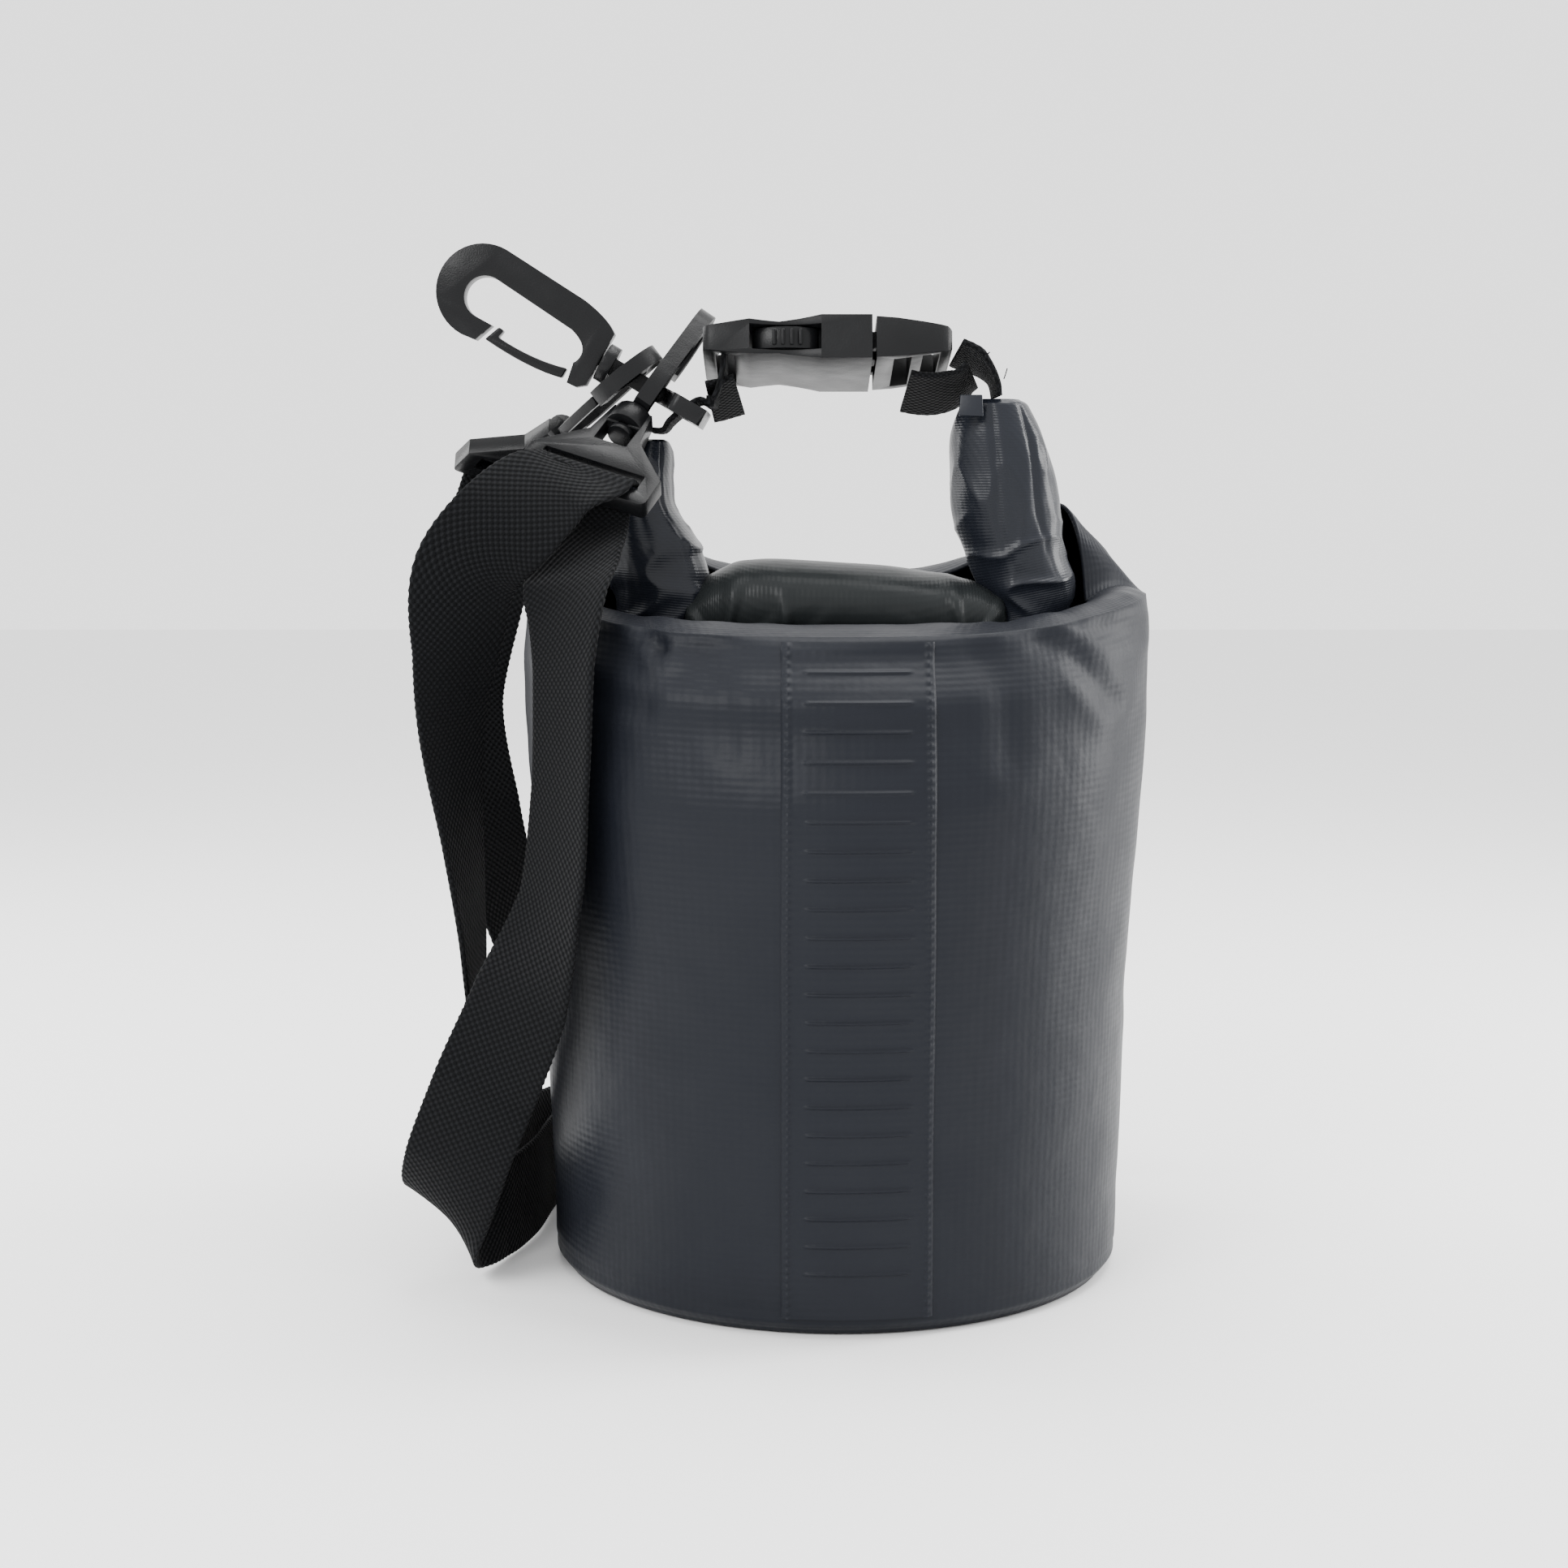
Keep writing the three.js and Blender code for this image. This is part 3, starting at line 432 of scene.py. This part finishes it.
def oval_loft(name, stations, around, steps, relief, material, node, power=0.85):
    """Closed soft tube through [x, z, wide, deep, dx, dz] stations, with wrinkled cloth ends."""
    stations = np.array(stations, float)
    rows, uvs = [], []
    count = (len(stations) - 1) * steps + 1
    for i in range(count):
        t = i / steps
        k = min(int(t), len(stations) - 2)
        f = t - k
        before = stations[max(k - 1, 0)]
        after = stations[min(k + 2, len(stations) - 1)]
        a, b = stations[k], stations[k + 1]
        s = 0.5 * ((2 * a) + (b - before) * f + (2 * before - 5 * a + 4 * b - after) * f * f
                   + (3 * a - before - 3 * b + after) * f ** 3)
        d = np.array([s[4], 0, s[5]])
        d /= np.linalg.norm(d)
        out = np.array([-d[2], 0, d[0]])
        end = min(i, count - 1 - i) / (count - 1)
        close = 1 - 0.18 * math.exp(-(end / 0.02) ** 2)
        for j in range(around):
            angle = 2 * math.pi * j / around
            c, q = math.cos(angle), math.sin(angle)
            c1 = math.copysign(abs(c) ** power, c)
            s1 = math.copysign(abs(q) ** power, q)
            p = np.array([s[0], 0, s[1]]) + out * c1 * s[2] * close + DEPTH * s1 * s[3] * close
            n = out * c1 + DEPTH * s1
            rows.append(p + n * relief(p, angle, i / (count - 1)))
            uvs.append((angle * (s[2] + s[3]) / 2, i * 1.0))
    base = len(rows)
    points = list(rows) + [np.mean(rows[:around], axis=0), np.mean(rows[-around:], axis=0)]
    faces = grid_faces(count, around, False, True)
    tail = (count - 1) * around
    for j in range(around):
        n = (j + 1) % around
        faces.append((base, n, j))
        faces.append((base + 1, tail + j, tail + n))
    uvs += [(0, 0), (0, count)]
    made = mesh_object(name, points, faces, uvs, material, "bag", node)
    return made


def groove(angle, at, width):
    d = (angle - at + math.pi) % (2 * math.pi) - math.pi
    return math.exp(-(d / width) ** 2)


def roll_relief(p, angle, t):
    """Pillow of rolled cloth: pulls that fan up from the lower corners, and one lap along its back."""
    out = -0.9 * groove(angle, 0.95 + 0.03 * math.sin(p[0] * 0.2), 0.08) + 0.3 * soft(p, 0.06, 1.0)
    for x0, reach, seed in ((-27, 13, 0.6), (-12, 7, 2.0), (31, 11, 3.3)):
        turn = math.atan2(p[0] - x0, max(1.0, p[2] - 150))
        near = math.exp(-(math.hypot(p[0] - x0, p[2] - 156) / reach) ** 2)
        out += 1.5 * near * max(0.0, math.sin(turn * 7 + seed)) ** 2 * (1 if p[1] < 0 else 0.4)
    return out


def fold(p, scale, seed):
    """Thin raised folds with broad smooth cloth between them, 0 to 1."""
    bent = (p[0] + 3.5 * soft(p, 0.07, seed + 9), p[1] + 3.5 * soft(p, 0.07, seed + 5), p[2])
    return max(0.0, 1 - 2.4 * abs(soft(bent, scale, seed))) ** 2


def arm_relief(seed):
    """Laps and long folds up an arm, and crushed cloth where it leaves the bag."""
    def relief(p, angle, t):
        laps = sum(groove(angle + 0.3 * soft(p, 0.04, seed), at, 0.07) for at in (4.05, 4.85))
        low = 1 / (1 + math.exp((t - 0.42) * 14))
        long = fold((p[0] * 1.4, p[1] * 1.4, p[2] * 0.45), 0.07, seed)
        crush = fold((p[0] * 0.8, p[1] * 0.8, p[2] * 1.7), 0.065, seed + 2)
        ease = min(1.0, 8 * t, 8 * (1 - t))
        upper = -0.7 * laps * (1 - low) + 0.6 * long * (1 - 0.6 * low)
        return ease * (upper + (1.2 * crush - 0.5) * low)
    return relief


# stations of the three soft tubes: x, z, half width, half depth, and the way the tube runs in x and z
ROLL = [[-37, 157, 5.5, 12, 1, 0], [-30, 160.5, 8.5, 15, 1, 0], [-19, 162, 10.3, 17.5, 1, 0],
        [0, 161.4, 10.2, 18, 1, 0], [20, 160, 9.6, 17.5, 1, 0], [34, 158.4, 8.3, 15.5, 1, 0],
        [41, 157, 6, 11, 1, 0]]
RIGHT_ARM = [[46.5, 156, 9.5, 11.5, -0.2, 1], [47, 163, 11, 12.5, -0.2, 1],
             [44, 172, 11.5, 12.8, -0.2, 1], [41.5, 182, 13, 12.5, 0, 1], [40.5, 192, 12.5, 12, 0, 1],
             [38.5, 202, 11, 11.5, 0, 1], [38, 210.5, 7.5, 10, 0, 1]]
LEFT_ARM = [[-42, 156, 11.5, 12, 0.1, 1], [-42, 164, 12.5, 12.8, 0.1, 1], [-44.4, 174, 12, 13, 0, 1],
            [-47, 184, 8, 12.5, 0, 1], [-47, 191, 7, 11.5, 0, 1], [-45.8, 197, 5.8, 8.6, 0, 1],
            [-45, 201, 4, 6.2, 0, 1]]


# ---------------------------------------------------------------- webbing
WEBBING_WIDTH = 25


def curve_points(stations):
    """Centripetal Catmull-Rom through the stations, as (point, station index) samples."""
    pts = np.array([s[0] for s in stations], float)
    n = len(pts)
    out = []
    for k in range(n - 1):
        p1, p2 = pts[k], pts[k + 1]
        p0 = pts[k - 1] if k > 0 else 2 * pts[0] - pts[1]
        p3 = pts[k + 2] if k + 2 < n else 2 * pts[-1] - pts[-2]
        d0, d1, d2 = (np.sum((b - a) ** 2) ** 0.25 for a, b in ((p0, p1), (p1, p2), (p2, p3)))
        t1 = ((p1 - p0) / d0 - (p2 - p0) / (d0 + d1) + (p2 - p1) / d1) * d1
        t2 = ((p2 - p1) / d1 - (p3 - p1) / (d1 + d2) + (p3 - p2) / d2) * d1
        steps = max(4, int(np.linalg.norm(p2 - p1) / 0.6))
        for i in range(steps + (k == n - 2)):
            f = i / steps
            c2 = -3 * p1 + 3 * p2 - 2 * t1 - t2
            c3 = 2 * p1 - 2 * p2 + t1 + t2
            out.append((p1 + t1 * f + c2 * f * f + c3 * f ** 3, k + f))
    return out


def webbing(name, stations, material, node, body="bag", pitch=1.8, thick=1.35):
    """Woven band with a rolled selvedge and edges that step with the weft."""
    samples = curve_points(stations)
    centre = np.array([p for p, _ in samples])
    forward = np.gradient(centre, axis=0)
    forward /= np.linalg.norm(forward, axis=1)[:, None]
    steps = np.linalg.norm(np.diff(centre, axis=0), axis=1)
    arc = np.concatenate([[0], np.cumsum(steps)])
    section = [(x, 1) for x in np.linspace(-0.97, 0.97, 15)] + [(1, 0.45), (1, -0.45)]
    section += [(x, -1) for x in np.linspace(0.97, -0.97, 15)] + [(-1, -0.45), (-1, 0.45)]
    points, uvs = [], []
    for i, (p, t) in enumerate(samples):
        k = min(int(t), len(stations) - 2)
        f = t - k
        a, b = (np.array(stations[q][1], float) for q in (k, k + 1))
        w = [stations[q][2] if len(stations[q]) > 2 else WEBBING_WIDTH for q in (k, k + 1)]
        across = a / np.linalg.norm(a) * (1 - f) + b / np.linalg.norm(b) * f
        across -= forward[i] * across.dot(forward[i])
        across /= np.linalg.norm(across)
        normal = np.cross(forward[i], across)
        half = (w[0] + (w[1] - w[0]) * f) / 2 + 0.14 * math.sin(2 * math.pi * arc[i] / pitch) - 0.14
        cup = 0.12 * math.sin(arc[i] * 0.05)
        for x, side in section:
            selvedge = 0.12 * math.exp(-((abs(x) - 0.94) / 0.05) ** 2)
            height = side * (thick / 2 + selvedge - 0.12) + cup * (x * x - 0.5)
            points.append(p + across * x * half + normal * height)
            uvs.append((x * half + (0.9 if side < 0 else 0), arc[i]))
    m = len(section)
    faces = grid_faces(len(samples), m, False, True)
    faces.append(tuple(range(m))[::-1])
    faces.append(tuple((len(samples) - 1) * m + j for j in range(m)))
    made = mesh_object(name, points, faces, uvs, material, body, [node] if node else ())
    return made


BUCKLE_Z, TILT_DEG = 221.5, -11.5
CARRY_AT = np.array([-57, 0, 220.0])
CARRY_DIR = np.array([-math.cos(math.radians(30)), 0, math.sin(math.radians(30))])
CARRY_SPINE = np.array([math.sin(math.radians(30)), 0, math.cos(math.radians(30))])
# each strap hook's bar, and the point on the carry hook's base that it hangs towards
HOOK_BARS = {"front": ((-59.7, -25.6, 189.7), (-43.9, -0.5, 213.2)),
             "rear": ((-82.2, 37.6, 191.8), (-50.6, -1.2, 216.2))}
UP, DOWN = (0, 0, 1), (0, 0, -1)
EDGE_Z, SLIDER_Z = 12.9, 16  # heights of webbing standing on its edge, and of webbing in the slider


def tilted(x, y, z):
    """A point given in the buckle's own axes, which lean forward with the handle."""
    a = math.radians(TILT_DEG)
    return np.array([x, y * math.cos(a) - z * math.sin(a), BUCKLE_Z + y * math.sin(a) + z * math.cos(a)])


def on_base(u, v):
    """A point along and across the carry hook's base."""
    return CARRY_AT + CARRY_DIR * u + CARRY_SPINE * v


def on_bar(name, u, n):
    """A point near a strap hook's bar, towards its hook by u and off to one side by n."""
    bar, aim = (np.array(p, float) for p in HOOK_BARS[name])
    d = (aim - bar) / np.linalg.norm(aim - bar)
    out = np.cross(d, (1, 0, 0))
    return bar + d * u + out / np.linalg.norm(out) * n


# ways the webbing lies across its run; each route is a list of (point, way across, width if not 25)
LEVEL = (0, 1, 0)
TILT = (0, math.cos(math.radians(TILT_DEG)), math.sin(math.radians(TILT_DEG)))
STEEP = (0, math.cos(math.radians(-22)), math.sin(math.radians(-22)))
BAR = (0.91, -0.3, -0.29)
REAR = (0.83, 0.48, -0.3)
HANDLE_LEFT = [
    ((-44.6, 0, 203.2), LEVEL, 11), ((-41.8, 0, 203.2), LEVEL, 16), (on_base(-22, -4.4), LEVEL, 24),
    (on_base(-23.7, 0), LEVEL), (on_base(-26, 3.7), LEVEL), (on_base(-29, 4), LEVEL),
    ((-28.4, 0, 211.4), STEEP), (tilted(-27.2, 0, -5.6), TILT), (tilted(-27, 0, -0.6), TILT),
]
HANDLE_RIGHT = [
    ((38.6, 0, 211.2), LEVEL, 19), ((37.8, 0, 215), LEVEL, 23), ((33.5, 0, 219.6), TILT),
    (tilted(28.8, 0, 0.4), TILT),
]
# turned-back ends of the two handle webbings, seen under the buckle
LAP_TILT = (0, math.cos(math.radians(-20)), math.sin(math.radians(-20)))
PLUG_LAP = [
    ((16.6, 0, 212.6), LAP_TILT), ((20, 0, 212.0), LAP_TILT), ((24.5, 0, 212.0), LAP_TILT),
    ((29, 0, 213.4), LAP_TILT), ((32.6, 0, 216.6), LAP_TILT),
]
SOCKET_LAP = [
    ((-30.8, 0, 210.0), LAP_TILT), ((-28.2, 0, 210.5), LAP_TILT), ((-23.6, 0, 211.8), LAP_TILT),
]
FRONT_RUN = [
    (on_bar("front", 4.6, 0.7), BAR), (on_bar("front", 3.2, 3), BAR), (on_bar("front", 0, 3.6), BAR),
    ((-60.8, -25, 180.6), (0.9, -0.35, -0.2)), ((-61.4, -33, 172), (0.8, -0.58, -0.1)),
    ((-62, -42, 163), (0.7, -0.7, 0)), ((-62.6, -47.3, 149), (0.6, -0.8, 0)),
    ((-63.6, -48.4, 122), (0.57, -0.82, 0)), ((-66.4, -47.2, 95), (0.62, -0.78, 0.05)),
    ((-73.5, -45.8, 72), (0.9, -0.35, 0.25)), ((-82.5, -43.5, 50), (0.95, -0.1, 0.3)),
    ((-90, -39.5, 31), (0.93, -0.2, -0.1)), ((-93.2, -31, 17.5), (0.75, -0.3, -0.6)),
    ((-88, -21, 13.8), (0.2, -0.15, -0.97)), ((-81.5, -10, EDGE_Z), DOWN), ((-76.5, 8, EDGE_Z), DOWN),
    ((-74, 32, EDGE_Z), DOWN), ((-70, 62, EDGE_Z), DOWN), ((-58, 84, EDGE_Z), DOWN),
    ((-46, 92, 15), DOWN), ((-35, 93.4, SLIDER_Z), DOWN), ((-30.5, 93.8, SLIDER_Z), DOWN),
    ((-26.8, 96, SLIDER_Z), DOWN), ((-23, 98.6, SLIDER_Z), DOWN), ((-21.5, 98.8, SLIDER_Z), DOWN),
]
RETURN_RUN = [
    (on_bar("front", 4.8, -0.7), BAR), (on_bar("front", 3, -3.4), BAR), (on_bar("front", 0, -4), BAR),
    ((-66.5, -33, 190), (0.93, -0.2, -0.3)), ((-75, -36.5, 182.5), (0.95, 0, -0.3)),
    ((-85.6, -34.4, 170.5), (0.93, 0.25, -0.1)), ((-88.8, -29, 152), (0.75, 0.66, 0)),
    ((-90.6, -27, 134), (0.5, 0.86, 0)), ((-88.6, -26, 108), (0.25, 0.97, 0)),
    ((-87, -23.5, 86), (0.1, 1, 0)), ((-87, -13, 62), (0, 0.95, 0.3)),
    ((-87, 2, 40), (0, 0.75, 0.66)), ((-86.5, 19, 24), (0, 0.4, 0.92)),
    ((-84, 38, 16), (0, 0.1, 1)), ((-79, 62, EDGE_Z), UP), ((-66, 86, EDGE_Z), UP),
    ((-46, 98.5, 15), UP), ((-34, 100.6, SLIDER_Z), UP), ((-20, 100.8, SLIDER_Z), UP),
]
REAR_RUN = [
    (on_bar("rear", 4.4, 0), REAR), (on_bar("rear", 2.6, 3), REAR), (on_bar("rear", -1.6, 3.6), REAR),
    ((-86, 42, 186), (0.9, 0.4, -0.1)), ((-92, 36, 162), (0.9, 0.4, 0)),
    ((-95.5, 29, 136), (0.75, 0.65, 0)), ((-90.5, 25, 109), (0.7, 0.7, 0)), ((-83, 24, 83), (0.5, 0.86, 0)),
    ((-77, 28, 60), (0.2, 0.95, 0.1)), ((-69, 38, 40), (-0.1, 0.7, 0.7)),
    ((-59, 51, 24), (-0.2, 0.3, 0.93)), ((-45, 65, 14.5), UP), ((-24, 75.5, EDGE_Z), UP),
    ((5, 79.5, EDGE_Z), UP), ((34, 77, EDGE_Z), UP), ((51, 79, EDGE_Z), UP), ((55, 88, EDGE_Z), UP),
    ((44, 95.5, EDGE_Z), UP), ((20, 94.6, 14), UP), ((-6, 93.6, SLIDER_Z), UP),
    ((-12, 93.8, SLIDER_Z), UP), ((-15.8, 96, SLIDER_Z), UP), ((-19.6, 98.6, SLIDER_Z), UP),
    ((-21, 98.8, SLIDER_Z), UP),
]


def thread_tube(name, lines, radius, body):
    """Short lengths of thread as one mesh of small round tubes."""
    points, faces, uvs = [], [], []
    sides = 6
    for line in lines:
        line = np.array(line, float)
        forward = np.gradient(line, axis=0)
        start = len(points)
        for i, p in enumerate(line):
            f = forward[i] / np.linalg.norm(forward[i])
            a = np.cross(f, (0.3, 0.9, 0.2))
            a /= np.linalg.norm(a)
            b = np.cross(f, a)
            for j in range(sides):
                q = 2 * math.pi * j / sides
                points.append(p + (a * math.cos(q) + b * math.sin(q)) * radius)
                uvs.append((j * radius, i * 0.5))
        faces += [tuple(start + v for v in face) for face in grid_faces(len(line), sides, False, True)]
        faces.append(tuple(start + j for j in range(sides))[::-1])
        faces.append(tuple(start + (len(line) - 1) * sides + j for j in range(sides)))
    made = mesh_object(name, points, faces, uvs, THREAD, body)
    return made


# ---------------------------------------------------------------- moulded parts
SHARP_ANGLE = math.radians(32)


def moulded(node, body, material, bevel, channel=None):
    """Bevelled copy of a CAD part. A channel of (rim, depth, least face area) sinks its large flats."""
    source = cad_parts[node]
    mesh = bpy.data.meshes.new(node + "_moulded")
    bm = bmesh.new()
    bm.from_mesh(source.data)
    bmesh.ops.remove_doubles(bm, verts=bm.verts, dist=2e-6)
    bmesh.ops.dissolve_limit(bm, angle_limit=math.radians(1.5), verts=bm.verts, edges=bm.edges)
    if channel:
        rim, depth, area = channel
        flats = [f for f in bm.faces if f.calc_area() > area]
        for face in flats:
            bmesh.ops.inset_individual(bm, faces=[face], thickness=rim * MM, depth=-depth * MM,
                                       use_even_offset=True)
    bm.normal_update()
    bm.to_mesh(mesh)
    bm.free()
    made = bpy.data.objects.new(node + "_moulded", mesh)
    bpy.context.scene.collection.objects.link(made)
    mesh.materials.clear()
    mesh.materials.append(material)
    edge = made.modifiers.new("edge", "BEVEL")
    edge.width = bevel * MM
    edge.segments = 2
    edge.limit_method = "ANGLE"
    edge.angle_limit = math.radians(28)
    edge.use_clamp_overlap = True
    edge.miter_outer = "MITER_ARC"
    apply_modifiers(made)
    made.data.shade_smooth()
    made.data.set_sharp_from_angle(angle=SHARP_ANGLE)
    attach(made, body)
    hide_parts(node)
    return made


def small_block(name, corners, height, body, material, bevel):
    """Closed raised pad from a planar outline and the direction it stands out in."""
    corners = [np.array(c, float) for c in corners]
    height = np.array(height, float)
    n = len(corners)
    points = corners + [c + height for c in corners]
    faces = [tuple(range(n)), tuple(range(2 * n - 1, n - 1, -1))]
    faces += [(j, n + j, n + (j + 1) % n, (j + 1) % n) for j in range(n)]
    made = mesh_object(name, points, faces, None, material, body, smooth=False)
    edge = made.modifiers.new("edge", "BEVEL")
    edge.width = bevel * MM
    edge.segments = 3
    edge.limit_method = "ANGLE"
    apply_modifiers(made)
    bm = bmesh.new()
    bm.from_mesh(made.data)
    bmesh.ops.recalc_face_normals(bm, faces=bm.faces)
    bm.to_mesh(made.data)
    bm.free()
    made.data.shade_smooth()
    made.data.set_sharp_from_angle(angle=SHARP_ANGLE)
    return made


# ---------------------------------------------------------------- assembly
bag_body()
base_panel()
base_weld()
seam_strip()
oval_loft("mouth_pillow", ROLL, 96, 26, roll_relief, TARP_ROLL, ["mouth_roll", "mouth_stiffener"])
for side, arm, seed in (("right", RIGHT_ARM, 3.0), ("left", LEFT_ARM, 7.0)):
    oval_loft(f"roll_arm_{side}_folded", arm, 110, 26, arm_relief(seed), TARP_ARM, [f"roll_arm_{side}"], 0.9)

for run, route in (("front", FRONT_RUN), ("return", RETURN_RUN), ("rear", REAR_RUN)):
    webbing(f"strap_{run}_woven", route, WEBBING, f"strap_{run}_run")
webbing("handle_left_woven", HANDLE_LEFT, WEBBING, "handle_webbing_left")
handle_right = webbing("handle_right_woven", HANDLE_RIGHT, WEBBING, "handle_webbing_right", None)
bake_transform(handle_right)
webbing("handle_right_lap", PLUG_LAP, WEBBING, None, "plug")
webbing("handle_left_lap", SOCKET_LAP, WEBBING, None, "bag")

moulded("buckle_housing", "bag", NYLON, 0.45)
moulded("buckle_plug", "plug", NYLON, 0.4)
for latch in ("latch_front", "latch_rear"):
    moulded(latch, latch, NYLON_GLOSS, 0.5)
moulded("carry_hook_base", "bag", NYLON_GLOSS, 0.4)
moulded("carry_hook_body", "carry_hook", NYLON_GLOSS, 0.9)
moulded("carry_hook_gate", "carry_hook_gate", NYLON_GLOSS, 0.4)
for side in ("front", "rear"):
    moulded(side + "_hook_base", "bag", NYLON_GLOSS, 0.4)
    moulded(side + "_hook_body", side + "_hook", NYLON_GLOSS, 0.35, (0.9, 0.7, 1.2e-4))
    moulded(side + "_hook_gate", side + "_hook_gate", NYLON_GLOSS, 0.3)
moulded("strap_slider", "slider", NYLON_GLOSS, 0.4)


def buckle_details():
    """Grip ribs on the two release pads, and a rib across each end of the socket's top."""
    centre = tilted(0, 0, 0)
    pad_y, grip_height, half_grip = 15.35, 0.75, 1.9
    for sign, body in ((-1, "latch_front"), (1, "latch_rear")):
        y = sign * pad_y
        for i in range(4):
            x = -15.6 + 2.1 * i
            corners = [tilted(x, y, z) for z in (-half_grip, half_grip)]
            corners += [tilted(x + 0.9, y, z) for z in (half_grip, -half_grip)]
            out = tilted(0, sign * grip_height, 0) - centre
            small_block(f"{body}_grip_{i}", corners, out, body, NYLON_GLOSS, 0.25)
    rib_wide, half_rib, rib_height = 1.4, 12, 0.55
    for name, x, z in (("housing_rib_end", -30.2, 2.9), ("housing_rib_mouth", 5.4, 5.1)):
        corners = [tilted(x, -half_rib, z), tilted(x + rib_wide, -half_rib, z),
                   tilted(x + rib_wide, half_rib, z), tilted(x, half_rib, z)]
        small_block(name, corners, tilted(0, 0, rib_height) - centre, "bag", NYLON, 0.25)


buckle_details()


def loose_ends():
    """Loose threads by the right-hand loop, and the small patch at the top of the right arm."""
    rng = np.random.default_rng(7)
    loose = []
    for i in range(7):
        p = np.array([31.0 + 1.4 * i, -12.2 + 0.3 * i, 220.4 - 0.9 * i])
        step = np.array([0.25, -0.1, 0.75]) + rng.normal(0, 0.22, 3)
        bend = rng.normal(0, 0.07, 3)
        loose.append([p + step * t + bend * t * t for t in range(5)])
    thread_tube("loose_threads", loose, 0.14, "plug")
    patch = [(28.6, -12.4, 206.2), (34.4, -12.9, 206.0), (34.2, -11.9, 211.2), (28.9, -11.4, 211.2)]
    made = small_block("arm_end_patch", patch, (0, -0.9, 0.1), "bag", TARP_ARM, 0.3)


loose_ends()

# ---------------------------------------------------------------- studio
floor_mesh = bpy.data.meshes.new("floor")
FLOOR_HALF = 3
corners = [(x * FLOOR_HALF, y * FLOOR_HALF, 0) for x, y in ((-1, -1), (1, -1), (1, 1), (-1, 1))]
floor_mesh.from_pydata(corners, [], [(0, 1, 2, 3)])
floor = bpy.data.objects.new("floor", floor_mesh)
bpy.context.scene.collection.objects.link(floor)
floor_mat = Mat("floor_white", (0.86, 0.86, 0.86), 0.6, 0.2)
floor_mesh.materials.append(floor_mat.mat)

world = bpy.data.worlds.new("studio")
bpy.context.scene.world = world
world.use_nodes = True
world.node_tree.nodes["Background"].inputs["Color"].default_value = (1, 1, 1, 1)
world.node_tree.nodes["Background"].inputs["Strength"].default_value = 2.1


def softbox(name, place, target, size, energy):
    light = bpy.data.lights.new(name, "AREA")
    light.shape = "RECTANGLE"
    light.size, light.size_y = size
    light.energy = energy
    made = bpy.data.objects.new(name, light)
    bpy.context.scene.collection.objects.link(made)
    made.location = place
    made.rotation_euler = (Vector(target) - Vector(place)).to_track_quat("-Z", "Y").to_euler()


softbox("key", (-0.55, -0.75, 0.75), (0, 0, 0.12), (0.5, 0.5), 9)
softbox("top", (0.1, 0.1, 0.9), (0, 0, 0.1), (0.7, 0.5), 7)
softbox("rim_right", (0.7, 0.15, 0.35), (0, 0, 0.12), (0.25, 0.7), 8)
softbox("rim_left", (-0.7, 0.3, 0.4), (0, 0, 0.12), (0.25, 0.7), 5)
